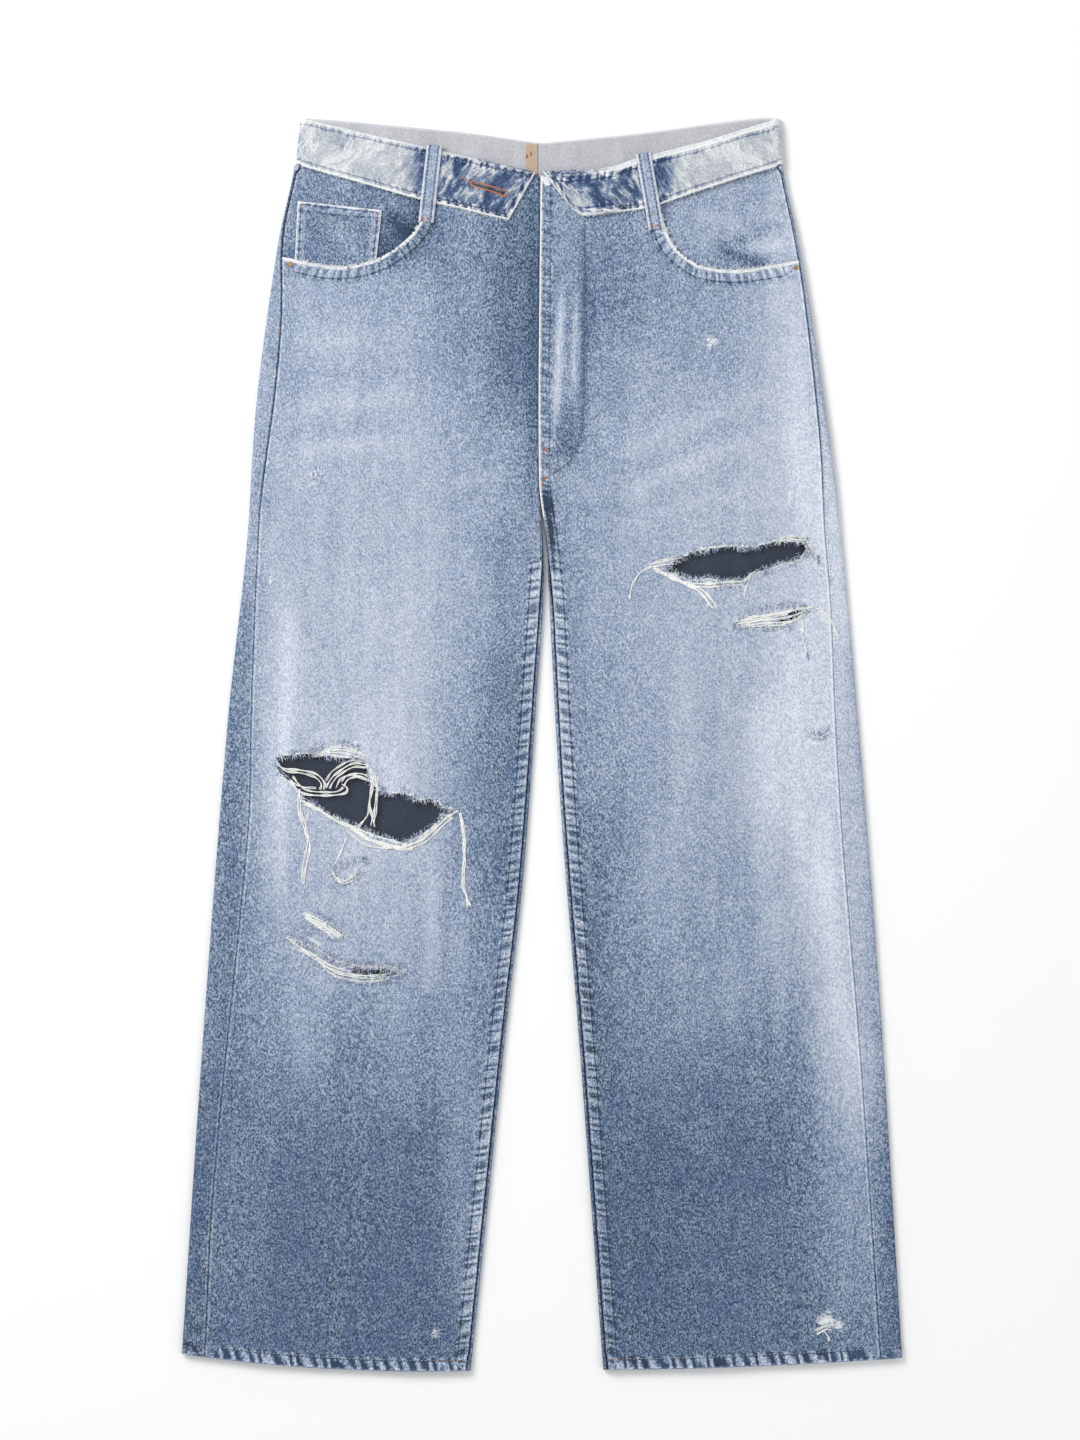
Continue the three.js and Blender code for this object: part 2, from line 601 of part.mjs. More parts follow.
const bandTopAt = smoothLine(BACK_BAND_TOP);
for (const [name, x] of Object.entries(BACK_LOOPS)) {
  const top = bandTopAt(x) - 1;
  const half = LOOP_WIDTH / 2;
  const foot = top - BACK_LOOP_LENGTH;
  const outline = [[x - half, top], [x - half, foot], [x + half, foot], [x + half, top]];
  addPiece(`belt_loop_back_${name}`, prism(outline, 0, TRIM), FINISH.denim);
}

// The closed zip lies between the front and the back, behind the fly.
function buildZip() {
  const middle = FRONT_TOP - DENIM / 2 - SEAM_GAP - ZIP.chainHeight / 2;
  const { tape, chain, chainHeight, tapeThickness } = ZIP;
  const corners = [[-tape, -1], [-chain, -1], [-chain, -2], [chain, -2], [chain, -1], [tape, -1],
    [tape, 1], [chain, 1], [chain, 2], [-chain, 2], [-chain, 1], [-tape, 1]];
  const outline = corners.map(([x, level]) => {
    const height = Math.abs(level) === 1 ? tapeThickness / 2 : chainHeight / 2;
    return new THREE.Vector2(x, Math.sign(level) * height);
  });
  const shape = new THREE.Shape(outline);
  const geometry = new THREE.ExtrudeGeometry(shape, { depth: ZIP.top - ZIP.foot, bevelEnabled: false });
  geometry.rotateX(Math.PI / 2).translate(ZIP.x, ZIP.top, middle);
  addPiece('zip', geometry, FINISH.darkDenim);

  const { half, body, tab, length, foot } = SLIDER;
  const sliderCorners = [[-half, 0], [half, 0], [half, body * 0.6], [tab, body], [tab, length],
    [-tab, length], [-tab, body], [-half, body * 0.6]];
  const sliderOutline = sliderCorners.map(([x, y]) => [x + ZIP.x, y + foot]);
  const slider = prism(sliderOutline, middle - chainHeight / 2, middle + chainHeight / 2);
  addPiece('zip_slider', slider, FINISH.metal);
}

buildZip();

function turned(profile, sides, x, y, z) {
  const points = profile.map(([r, h]) => new THREE.Vector2(r, h));
  return new THREE.LatheGeometry(points, sides).rotateX(Math.PI / 2).translate(x, y, z);
}

// The button sits on the waistband's outside, so its head is down against the front panel.
const { radius, height } = BUTTON;
const onPanel = FRONT_TOP + DENIM / 2 + SEAM_GAP;
const buttonProfile = [[0, 0], [radius - 1, 0], [radius, 0.8], [radius, 1.6], [radius * 0.5, 2.2],
  [radius * 0.35, height], [0, height]];
addPiece('waist_button', turned(buttonProfile, 20, BUTTON.x, BUTTON.y, onPanel), FINISH.metal);

const rivetProfile = [[0, 0], [RIVET.radius, 0], [RIVET.radius, 0.4], [RIVET.radius * 0.6, RIVET.height],
  [0, RIVET.height]];
for (const side of ['left', 'right']) {
  const [x, y] = RIVET[side];
  addPiece(`rivet_${side}`, turned(rivetProfile, 12, x, y, onPanel), FINISH.metal);
}

export default jeans;
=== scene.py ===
import math
from types import SimpleNamespace

import bpy
import numpy as np
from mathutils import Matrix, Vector
from mathutils.bvhtree import BVHTree


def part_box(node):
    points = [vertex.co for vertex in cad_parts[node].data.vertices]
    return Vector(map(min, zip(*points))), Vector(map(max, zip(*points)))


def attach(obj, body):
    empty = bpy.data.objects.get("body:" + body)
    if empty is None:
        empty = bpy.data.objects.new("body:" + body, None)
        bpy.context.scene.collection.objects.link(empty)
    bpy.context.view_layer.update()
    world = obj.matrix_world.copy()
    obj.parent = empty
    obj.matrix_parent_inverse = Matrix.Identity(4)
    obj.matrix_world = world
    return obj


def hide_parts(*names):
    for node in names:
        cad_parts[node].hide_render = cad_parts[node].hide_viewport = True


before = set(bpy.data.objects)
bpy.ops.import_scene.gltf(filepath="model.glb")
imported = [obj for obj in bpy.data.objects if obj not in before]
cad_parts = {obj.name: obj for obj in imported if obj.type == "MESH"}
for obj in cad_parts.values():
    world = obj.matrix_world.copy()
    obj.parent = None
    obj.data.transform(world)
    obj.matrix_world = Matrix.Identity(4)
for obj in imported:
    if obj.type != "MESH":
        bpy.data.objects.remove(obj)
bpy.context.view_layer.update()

bl_info = {
    "name": "Ripped jeans, laid flat",
    "version": (1, 0, 0),
    "blender": (4, 5, 0),
    "location": "3D View > Sidebar > Jeans",
    "description": "Builds the cloth, rips, stitching and trims of a pair of wide-leg jeans on its frame",
    "category": "Object",
}

# Lengths below are in millimetres, in the frame's own axes; meshes are written in metres.
MM = 0.001
BODY = "root"
SIDES = ("left", "right")
SIGN = {"left": -1, "right": 1}

# ------------------------------------------------------------
# Cut and lay of the garment, as in the frame: thicknesses, clear gaps, and heights up the garment

DENIM = 1.2
BAND = 2.4
HEM = 2.6
HEM_DEPTH = 13.0
SEAM_GAP = 0.3
SIDE_SEAM_GAP = 0.6
TRIM = 1.2
BACK_LIFT = TRIM + SEAM_GAP
HIP_GAP = 3.6
LEG_GAP = 3.0
FACING_DROP = DENIM + SEAM_GAP

WAIST_SIDE = 531.3
WAIST_CENTRE = 485.4
BAND_SIDE_FOOT = 491.5
BAND_BACK_FOOT = 476.0
HEM_SIDE = {"left": -517.7, "right": -521.1}
HEM_INNER = {"left": -532.1, "right": -531.3}
HEM_SAG = {"left": 5.3, "right": 2.2}
# Heights between which the back rises off the floor, the layers part at the hips, and the inseam opens
LIFT_RANGE = (160.0, 232.0)
HIP_RANGE = (90.0, 190.0)
CROTCH_RANGE = (105.0, 205.0)
LEAST_TURN = 0.12
# Where the front's side seam comes to the very edge
SIDE_RANGE = (150.0, 240.0)
# Places well past the side, past the centre and above the waist, for outlines that cut right through
PAST_SIDE = 260
PAST_CENTRE = 20
ABOVE_WAIST = 620
# How far a front's top edge lies below the fold of the turned-down end, and how far a facing reaches past
# the pocket opening, across and down
FOLD_TUCK = 3.6
FACING_LAP = (11.2, 16)
# Rows of stitching are this far above the hem's edge
HEM_STITCH = 9.5
YOKE_SIDE = 452.0
YOKE_CENTRE = 412.0

OUTLINE = {
    "left": [(-518, -306.4), (-252, -288.6), (20, -267.3), (169, -251.2), (292, -242.7), (428, -224),
             (483, -212), (531, -205.3)],
    "right": [(-521, 305.6), (-184, 284.3), (88, 262.2), (224, 248.6), (360, 229.1), (428, 217.2),
              (483, 205.3), (531, 201)],
}
INNER_EDGE = {
    "left": [(-532, -60.8), (-252, -31.9), (-116, -16.6), (54, -3.8), (146, 1.6), (225, -3.4), (485, -2.1)],
    "right": [(-531, 51.4), (-252, 31), (-48, 14.9), (122, 5.5), (176, 2.4), (225, -3.1), (485, -1.8)],
}
SEAM_OFFSET = {
    "left": [(-509, 20), (-388, 18), (-71, 25.5), (27, 20), (186, 9.5), (294, 15), (363, 12.5), (428, 3.5),
             (484, 2.2), (491, 5.4), (531, 5.4)],
    "right": [(-517, 19), (-284, 20), (-94, 22), (13, 20), (122, 15), (185, 14), (255, 9), (359, 4.6),
              (428, 2.8), (484, 2.2), (491, 5.4), (531, 5.4)],
}
FOLD_LINE = {
    "left": [(-205.3, 531.3), (-99, 506.6), (-5.5, 485.4)],
    "right": [(201, 531.3), (137.3, 511.7), (76.9, 496.4), (60.8, 490.5), (42, 487.9), (-0.6, 486.2)],
}
FREE_EDGE = {
    "left": [(-209.5, 491.8), (-180, 483.2), (-150, 475.0), (-122, 466.8), (-95.6, 459.9), (-62, 452.4),
             (-36, 446), (-28.5, 444.6)],
    "right": [(204.4, 491.8), (165, 479.8), (130, 468.4), (99, 457.3), (85.4, 453.9), (70, 452.0),
              (60, 450.6), (54, 451.2), (50.6, 449.4), (42, 448.4), (33.6, 448), (27, 452.5), (20.8, 459)],
}
BACK_BAND_TOP = [(-205.3, 531.3), (-173.8, 529.6), (-101.6, 522.8), (-53.1, 517.7), (-5.5, 510.9),
                 (14.9, 511.7), (82.9, 518.5), (133.9, 525.3), (180.6, 531), (201, 531.3)]
POCKET_MOUTH = {
    "left": [(-218.9, 413.1), (-175.5, 405.5), (-142.4, 411.4), (-118.6, 425.9), (-105, 442), (-100.7, 458)],
    "right": [(218.9, 410.6), (172.1, 402.9), (145.8, 403.8), (128.8, 408.9), (110.9, 424.2), (102.4, 444.5),
              (98, 460)],
}
COIN_POCKET = [(-207.8, 460.7), (-136.4, 453.1), (-142.3, 400), (-210.7, 400)]
FOLDS = [
    ((-215, 339), (-96, 343), 14, 1), ((-215, 284), (-104, 292), 14, 1.2), ((-215, 246), (-96, 258), 13, 1),
    ((49, 207), (193, 267), 15, 1.2), ((49, 241), (185, 297), 13, 1), ((-14, 205), (-78, 122), 17, 1.5),
    ((18, 199), (83, 122), 17, 1.5), ((-121, 122), (-134, 3), 30, 1.6), ((-96, -133), (-104, -560), 28, 2),
    ((-206, -218), (-240, -560), 24, 1.5), ((117, 88), (125, -133), 30, 1.8),
    ((134, -218), (151, -560), 30, 2.2),
]

# Rips, each a closed outline
RIPS = {
    "left": [
        [(-226.5, -12), (-219, -10), (-211, -9), (-197, -8), (-183, -10), (-170, -12), (-160, -11),
         (-152.6, -12), (-149, -21), (-147, -30), (-141, -38), (-136, -39), (-130, -42.5), (-124, -42),
         (-118, -40), (-111, -45), (-104, -47.6), (-97, -46.5), (-91, -47.6), (-86, -53), (-80, -53.5),
         (-74.4, -56), (-79, -59.5), (-84.6, -60.4), (-90, -67), (-95.6, -71.4), (-103, -77), (-109.2, -80),
         (-119.4, -85), (-127, -83), (-131.3, -80.8), (-140, -79), (-147.5, -75.6), (-156, -71), (-165, -68),
         (-173, -65), (-180.6, -61.2), (-187, -56), (-192.5, -51.8), (-204.4, -46.8), (-205.3, -42.5),
         (-210.4, -35.7), (-217, -30), (-223.1, -23.8), (-226.5, -17)],
        [(-171.3, -190.5), (-158, -189), (-145, -189), (-130, -191.5), (-116, -192.5), (-121, -195.5),
         (-133, -197.5), (-145, -196.5), (-157, -195.5), (-166, -193.5)],
    ],
    "right": [
        [(100.7, 147), (107, 151), (113.5, 156.4), (121, 159), (127.9, 164), (137, 164.5), (148, 167),
         (161.9, 168.3), (173, 167), (184, 168.3), (191, 171), (198.5, 172.6), (210, 171.5), (224, 173.4),
         (226, 167), (224.8, 162.4), (220, 160), (215.5, 155.6), (203, 153), (190, 147.9), (182, 146),
         (175.5, 142), (170.4, 138.6), (153.4, 138.6), (140, 141), (133.9, 139.4), (125.4, 139.4), (118, 142),
         (110.9, 145.4)],
        [(198.5, 106.5), (206, 109), (213.8, 113.9), (225, 115.6), (220, 110), (213, 105.5), (206, 102.5),
         (200, 101)],
    ],
}

# Loose yarns at the rips: (thickness, line)
STRANDS = {
    "left": [
        (1.3, [(-185.7, -5.1), (-176.4, -2.5), (-167, -3), (-157.7, -6), (-150, -10.2)]),
        (1.2, [(-189.1, -7.2), (-178.1, -5.1), (-166.2, -5.5), (-156.8, -8.1), (-150.9, -11.5)]),
        (1.2, [(-191.7, -9.3), (-179.8, -7.2), (-167, -8.1), (-155.1, -11)]),
        (1.0, [(-195.9, -10.6), (-182.3, -9.3), (-169.6, -10.6), (-158.5, -12.8)]),
        (1.3, [(-226.9, -13.6), (-220.6, -20.4), (-206.1, -22.1), (-192.1, -25.5), (-184.9, -33.1),
               (-185.7, -38.7)]),
        (1.1, [(-225.7, -16.1), (-218, -22.9), (-205.3, -24.6), (-193.4, -28.1), (-187.8, -34),
               (-189.1, -39.1)]),
        (0.9, [(-222.7, -28.1), (-213.2, -32.7), (-203.7, -36.3), (-191.9, -37.4)]),
        (1.2, [(-149.2, -17.8), (-161.2, -16.6), (-175.5, -25.5), (-181.5, -32.7), (-184, -37.4)]),
        (1.1, [(-148.3, -20.4), (-160.2, -19.6), (-173, -26.8), (-178.9, -34), (-180.6, -38.2)]),
        (1.0, [(-150.9, -15), (-163.6, -14.4), (-178.1, -22.9), (-184, -31.4)]),
        (1.3, [(-213.8, -30.6), (-208.7, -38.2), (-201, -42.5), (-189.6, -43.7), (-176.4, -43.4),
               (-167.4, -41.6), (-165.8, -37.4), (-170.4, -34)]),
        (1.1, [(-212.1, -27.2), (-206.1, -34.9), (-198.5, -39.5), (-187.4, -40.8), (-174.7, -40.4),
               (-168.7, -36.5)]),
        (1.2, [(-168.7, -35.7), (-164.5, -29.8), (-154.3, -27.6), (-144.9, -32.3)]),
        (1.1, [(-170.4, -32.3), (-166.2, -27.2), (-155.1, -25.1), (-144.1, -28.9)]),
        (1.0, [(-175.5, -37.4), (-171.3, -29.8), (-161.9, -26.3), (-150, -30.6), (-143.2, -33.1)]),
        (1.2, [(-145.8, -20.4), (-143.6, -34), (-146.6, -50.1), (-142.4, -70.5)]),
        (1.0, [(-143.2, -23.8), (-140.7, -36.5), (-141.9, -50.1), (-145.8, -69.7)]),
        (1.1, [(-146.6, -22.1), (-145.3, -35.7), (-147.1, -49.3), (-148.3, -59.9), (-156.8, -71)]),
        (1.0, [(-139.8, -27.2), (-140.2, -39.1), (-140.7, -51.9), (-143.2, -68)]),
        (1.6, [(-206.1, -47.6), (-191.9, -54.4), (-177.8, -63.4), (-161.2, -71.4), (-144.9, -81.1),
               (-125.9, -86.7), (-110.5, -89.2)]),
        (1.4, [(-202.7, -51), (-189.1, -56.9), (-175.5, -65.5), (-160.2, -74), (-143.2, -83.3),
               (-124.5, -88.8), (-109.2, -90.1)]),
        (1.3, [(-178.1, -61.2), (-154.3, -73.1), (-137.7, -79), (-118.7, -84.6), (-109.2, -88.4)]),
        (1.2, [(-166.2, -73.1), (-154.3, -83.3), (-140, -88), (-121.1, -87.5), (-104.1, -83.3)]),
        (1.2, [(-163.6, -69.7), (-150, -80.3), (-134.7, -85), (-117.7, -88.8)]),
        (1.5, [(-119.4, -86.7), (-102.4, -81.6), (-88.1, -68.8), (-78.6, -60.8), (-71, -56.1)]),
        (1.2, [(-114.3, -89.2), (-99, -82.9), (-86.3, -71), (-76.1, -62)]),
        (1.0, [(-110.9, -85), (-99.9, -78.2), (-89.7, -67.1)]),
        (1.3, [(-206.1, -38.2), (-207.3, -55.2), (-201.4, -74), (-197.9, -84.1), (-198.5, -95.2),
               (-201.4, -107.1), (-202.6, -119.8)]),
        (1.0, [(-204.4, -40.8), (-205.3, -56.1), (-200.2, -72.2), (-199.3, -83.3), (-201.9, -96),
               (-204, -108.8), (-203.6, -119)]),
        (1.1, [(-199.1, -58.6), (-201.4, -74), (-197.2, -85.8), (-199.5, -99.5)]),
        (1.3, [(-166.2, -79), (-170.4, -90.1), (-174.2, -97.8), (-176.8, -102.8)]),
        (1.3, [(-70.5, -58.6), (-67.3, -78.8), (-67.1, -102), (-68, -119), (-64.4, -130), (-60.9, -138.1)]),
        (1.2, [(-69.3, -57.8), (-66, -79), (-65.9, -102), (-66.6, -119), (-64.2, -130), (-63.8, -139.4)]),
        (1.2, [(-177.8, -108.8), (-173.1, -116.5), (-161.2, -113), (-157.7, -104.5)]),
        (1.0, [(-176.4, -112.2), (-169.6, -118.1), (-160.2, -116.5)]),
        (1.0, [(-179.8, -105.4), (-175.5, -113), (-167.9, -115.6)]),
        (1.5, [(-200.2, -144.8), (-191.9, -147.9), (-180.2, -155.5), (-169.6, -163.8)]),
        (1.4, [(-198.5, -147.5), (-190.8, -150.9), (-180.6, -158.1), (-172.1, -164.9)]),
        (1.1, [(-201, -147.9), (-192.5, -153.8), (-182.3, -160.7), (-177.2, -165.8)]),
        (1.3, [(-218, -164), (-206.1, -172.1), (-191.9, -180.6), (-177.8, -189.1), (-161.2, -192.9)]),
        (1.2, [(-206.1, -173.4), (-190.8, -184.4), (-175.5, -193.8), (-158.5, -198), (-140.7, -199.8)]),
        (1.2, [(-192.5, -181.9), (-182.3, -189.5), (-167.9, -194.7), (-148.3, -196.8), (-127.9, -194.7)]),
        (1.0, [(-189.1, -185.3), (-179.8, -194.7), (-163.6, -200.2), (-144.9, -201.4), (-129.6, -198.9)]),
    ],
    "right": [
        (1.2, [(90.5, 152.2), (101.6, 154.7), (114.3, 157.7)]),
        (1.1, [(89.7, 150), (100.7, 151.7), (111.8, 153)]),
        (1.0, [(93.1, 153.8), (103.3, 156.4), (116.9, 160.2)]),
        (1.2, [(93.1, 151), (82.9, 145.3), (76.1, 134.3), (73.8, 122.4)]),
        (1.4, [(93.9, 149.6), (106.4, 144.1), (122, 137.3), (140.2, 136), (156, 137.3), (170.4, 137.7)]),
        (1.2, [(95.6, 147), (107.5, 141.5), (122.8, 135.2), (140.7, 133.4), (156, 134.7), (169.6, 135.2)]),
        (1.6, [(99.9, 146.2), (120.3, 136), (133.5, 129.2), (142.4, 118.1), (144.9, 114.8)]),
        (1.5, [(103.3, 145.3), (122, 136.8), (135.6, 130.9), (144.5, 121.5), (148.2, 115.6)]),
        (1.2, [(116.9, 139.4), (128.8, 132.6), (138.1, 124.1), (141.5, 116.5)]),
        (1.2, [(139, 137.7), (144.9, 136), (150.9, 131.8)]),
        (1.2, [(170.4, 137.7), (176.4, 143.7), (181.5, 147)]),
        (1.2, [(177.2, 145.3), (174.2, 136.4), (171.9, 129.2), (171.3, 123.2)]),
        (1.3, [(195.5, 172.5), (210.2, 176.4), (224, 174.7)]),
        (1.2, [(197.6, 170.8), (210.4, 173.8), (224, 172.5)]),
        (1.0, [(191.7, 170.8), (205.3, 174.7), (218.9, 176.8)]),
        (1.2, [(224.4, 171.7), (226.5, 164.5), (223.5, 158.1)]),
        (1.1, [(227.8, 171.7), (229.1, 163.2), (225.7, 156.4)]),
        (1.0, [(221.4, 172.5), (224, 165.8), (220.6, 159.8)]),
        (1.0, [(133, 165.8), (144.1, 167), (156.8, 168.3)]),
        (1.4, [(162.8, 103.7), (183.2, 108.1), (201, 110.5), (219.2, 114.8), (231.6, 116.5)]),
        (1.4, [(165.1, 102), (187.4, 105.1), (205.7, 107.1), (223.7, 112.6)]),
        (1.3, [(167.4, 100.3), (192.1, 102.8), (210.4, 103.7), (221.4, 109.2)]),
        (1.2, [(174.1, 107.5), (192.1, 109.6), (212.4, 113.9)]),
        (1.1, [(171.3, 105.4), (190, 106.9), (208.7, 110.5)]),
        (1.1, [(176.4, 99.9), (193.4, 100.5), (207, 101.1)]),
        (1.3, [(231.6, 116), (241.8, 109.2), (247.3, 100.3), (251.9, 87.8)]),
        (1.0, [(233.8, 115.6), (240.6, 105.8), (243.5, 101.1)]),
        (1.1, [(219.2, 108), (221.4, 100.3), (221.4, 93.5)]),
        (1.1, [(219.7, 98.6), (221.8, 86.7), (224.8, 75.6)]),
        (1.2, [(231.6, -498.1), (239.3, -494.7), (249.5, -493)]),
        (1.1, [(232.5, -501.5), (241, -497.2), (246.1, -498.1)]),
        (1.1, [(237.6, -497.2), (242.7, -503.2), (243.5, -507.4)]),
    ],
}

# Edges where the cloth is frayed but not open: (points, hairs per millimetre, hair length)
FRAYS = [
    ([(-201, -144), (-190, -146), (-178, -153), (-168, -163)], 2.0, 4.0),
    ([(-202, -149), (-193, -157), (-180, -164), (-170, -166)], 1.5, 3.0),
    ([(-219, -163), (-205, -168), (-190, -175), (-175, -184), (-155, -188), (-135, -188),
      (-116, -191)], 2.6, 4.5),
    ([(-193, -185), (-172, -200), (-150, -203), (-128, -200)], 1.6, 3.0),
    ([(-180, -100), (-168, -104), (-156, -97), (-146, -100)], 1.6, 3.5),
    ([(-180, -104), (-173, -118), (-160, -116), (-152, -108)], 1.6, 3.5),
    ([(-196, -2), (-182, -1), (-168, 0), (-155, -4)], 2.0, 4.0),
    ([(162, 101), (178, 98.5), (196, 98), (214, 98.5)], 2.2, 3.0),
    ([(166, 107), (180, 113), (198, 117), (216, 119)], 1.6, 3.5),
    ([(150, 139), (160, 134), (168, 133)], 2.0, 3.5),
    ([(220, 96), (222, 84), (226, 73)], 1.5, 3.0),
    ([(226, 170), (229, 160), (236, 155)], 1.5, 4.0),
    ([(-254, 172), (-259, 166), (-257, 158)], 2.5, 4.5),
    ([(-259, 150), (-261, 146)], 2.5, 4.0),
    ([(225, 8), (236, 6), (243, 12)], 2.0, 5.0),
    ([(140, 345), (147, 340), (143, 334)], 1.0, 4.0),
    ([(-197, 228), (-188, 224)], 1.4, 4.0),
    ([(-193, 234), (-190, 228)], 1.2, 5.0),
    ([(102, -22), (106, -34)], 1.2, 5.0),
    ([(231, -499), (250, -492)], 1.6, 4.0),
    ([(-94, -503), (-87, -497)], 1.4, 4.0),
    ([(136, 409), (141, 406)], 2.5, 6.0),
]

# Small places where the blue warp is worn through: (x, y, half width, half height, lean in degrees, strength)
WORN_SPOTS = [
    (-193, 226, 9, 8, 20, 0.9), (144, 341, 7, 7, 0, 1.0), (211, 382, 4, 10, 0, 0.7),
    (214, 369, 4, 5, 0, 0.6), (211, 210, 4, 9, 0, 0.8), (105, -26, 5, 15, 0, 0.5), (233, 3, 9, 6, 0, 0.9),
    (231, 10, 5, 4, 0, 0.8), (-90, -500, 5, 6, 0, 0.75), (244, -491, 17, 6, -12, 0.95),
    (240, -483, 12, 5, 15, 0.75), (-231, 138, 3, 10, 0, 0.7), (-227, 118, 3, 13, 0, 0.6),
    (244, 186, 3, 5, 0, 0.4), (-193, -150, 15, 5, -35, 1.0), (-180, -160, 12, 4, -28, 0.9),
    (-173, -112.5, 6, 2.6, -45, 0.9), (-163, -113, 7, 2.4, 35, 0.85), (-166, -104, 11, 2.2, 5, 0.6),
    (-195, -167, 14, 3.5, -22, 0.8), (-205, -175, 14, 3, -20, 0.7), (-165, -188, 16, 3, -14, 0.9),
    (-130, -192, 18, 3.5, 0, 0.9), (-168, -2, 22, 5, 8, 0.95), (-190, -1, 14, 3, 0, 0.6),
    (178, 105, 15, 3.5, 8, 0.9), (208, 111, 18, 4, 14, 0.85), (212, 175, 17, 3, 4, 0.8),
    (166, 132, 8, 10, 0, 0.55), (192, 96, 26, 3, 0, 0.7), (222, 98, 4, 8, 20, 0.6), (229, 168, 5, 8, 0, 0.7),
    (233, 156, 5, 3, 0, 0.9), (-256, 159, 4, 4, 0, 0.6), (3, 478, 3.5, 6, 35, 0.95),
]

# The wash: pale zones on a darker ground, and a painted shadow beside the fly,
# (x, y, half width, half length, lean in degrees, tone added)
GROUND_TONE = [(-532, 0.06), (-340, 0.13), (-262, 0.24), (-180, 0.34), (0, 0.38), (200, 0.44), (330, 0.42),
               (532, 0.5)]
WASH_ZONES = [
    (-178, 110, 82, 320, -1, 0.27), (-85, 190, 46, 190, 3, 0.12), (-135, 20, 42, 120, 0, 0.12),
    (-150, -95, 62, 130, 0, 0.16), (-205, -255, 45, 90, -3, 0.1), (-62, -380, 24, 150, 4, 0.26),
    (-88, -130, 22, 90, 3, 0.16), (-22, 400, 26, 130, 0, -0.24), (-125, 425, 40, 24, 0, -0.22),
    (-60, -40, 32, 130, 3, -0.06), (-28, -30, 22, 110, 2, -0.16), (-262, 0, 16, 180, -3, -0.12),
    (-232, 60, 13, 150, -4, 0.1), (150, 90, 78, 320, 1, 0.22), (205, 90, 34, 330, 2, 0.16),
    (220, 330, 22, 150, 4, 0.3), (255, -60, 30, 290, 3, 0.42), (72, 150, 50, 190, 0, 0.1),
    (266, -380, 24, 150, 3, 0.34), (240, -330, 26, 150, 3, 0.12), (38, -170, 24, 130, 0, -0.16),
    (190, -20, 22, 60, 2, 0.14), (60, -420, 40, 120, 0, -0.02), (-265, -430, 30, 110, -2, 0.08),
    (-262, 250, 20, 120, -4, 0.1), (262, 180, 22, 90, 3, 0.25), (160, 452, 66, 36, 0, 0.04),
    (150, 50, 60, 110, 0, 0.06), (-80, 60, 40, 120, 0, 0.05), (200, -450, 60, 80, 0, 0.05),
    # (-8, 360) is a painted shadow on the left front, beside the edge of the fly
    (100, -400, 50, 90, 0, -0.05), (-8, 360, 7, 160, 0, -0.25), (20, 262, 12, 26, -12, -0.26),
    (3, 330, 6, 120, 0, 0.1), (-205, -15, 12, 120, -2, 0.06), (-110, 60, 14, 200, 0, 0.05),
    (-222, 0, 12, 130, -3, 0.2), (220, -40, 20, 130, 4, 0.16), (242, -150, 12, 80, 4, 0.14),
    (190, -60, 10, 130, 0, 0.1), (100, -120, 12, 60, 0, 0.14), (-60, 390, 50, 90, 0, -0.1),
    (62, 400, 40, 60, 0, -0.14), (-150, 445, 60, 30, 0, -0.16), (120, 340, 50, 60, 0, -0.05),
    (-262, -100, 20, 120, -3, -0.08), (-28, 100, 18, 90, 0, -0.06), (262, -380, 10, 120, 3, -0.12),
    (-214, 60, 8, 60, 0, 0.1),
]
WHISKERS = [
    ((-222, 340), (-100, 345), 8, 0.1), ((-222, 284), (-104, 294), 8, 0.12),
    ((-220, 246), (-96, 260), 7, 0.1), ((-215, 312), (-110, 316), 6, -0.06),
    ((-215, 264), (-110, 274), 6, -0.06), ((49, 205), (200, 268), 8, 0.12), ((49, 240), (190, 298), 7, 0.1),
    ((40, 176), (170, 218), 7, 0.08), ((60, 222), (190, 282), 5, -0.05), ((-90, 214), (-24, 236), 6, 0.08),
    ((-100, 180), (-20, 212), 6, 0.06), ((20, 214), (80, 230), 6, 0.06),
    ((-206, -205), (-200, -300), 10, 0.16), ((-120, -205), (-116, -330), 14, 0.14),
    ((160, -170), (166, -250), 14, 0.08), ((205, 200), (222, -150), 9, 0.08),
    ((17, 400), (10, 250), 3.4, 0.5), ((29, 390), (26, 290), 2.6, 0.36), ((38, 430), (34, 262), 3.4, -0.26),
    ((20, 262), (26, 246), 8, -0.16), ((44, 425), (42, 300), 3, -0.12), ((-140, -215), (-146, -330), 6, 0.1),
    ((-175, -205), (-178, -300), 6, -0.06), ((196, -120), (204, -260), 7, 0.12),
    ((100, 60), (104, -180), 8, -0.04), ((128, 130), (122, -150), 8, 0.05),
    ((-220, 60), (-222, -200), 5, 0.16), ((-95, -95), (-97, -225), 5, 0.14),
    ((-80, -90), (-84, -215), 4, -0.1), ((-128, -105), (-122, -200), 9, 0.08),
    ((-66, -80), (-70, -220), 5, 0.1),
]

# The fly facing, stitched through from the top of the fly to a curve at its foot
FLY_SHAPE = [(-12, 640), (36, 640), (35.8, 420), (35.4, 340), (35, 290), (33.6, 268), (30.5, 252),
             (24.5, 241), (16.5, 234), (8, 228.5), (-12, 222)]

WAIST_BUTTON = SimpleNamespace(x=51.4, y=466.6, rise=3.9, clear=10, slope=25)
FRONT_LOOPS = {"left": ((-91.8, 505.5), (-98.8, 443.0)), "right": ((85.9, 498.8), (96.7, 437.0))}


# ------------------------------------------------------------
# Curves, distances and noise

def lerp(a, b, t):
    return a + (b - a) * t


def smoothstep(x, low, high):
    t = np.clip((np.asarray(x, float) - low) / (high - low), 0, 1)
    return t * t * (3 - 2 * t)


def falloff(x, low, high):
    return 1 - smoothstep(x, low, high)


def bell(away, width, power=2):
    """A hump that is 1 at no distance and fades past its width."""
    return np.exp(-((away / width) ** power))


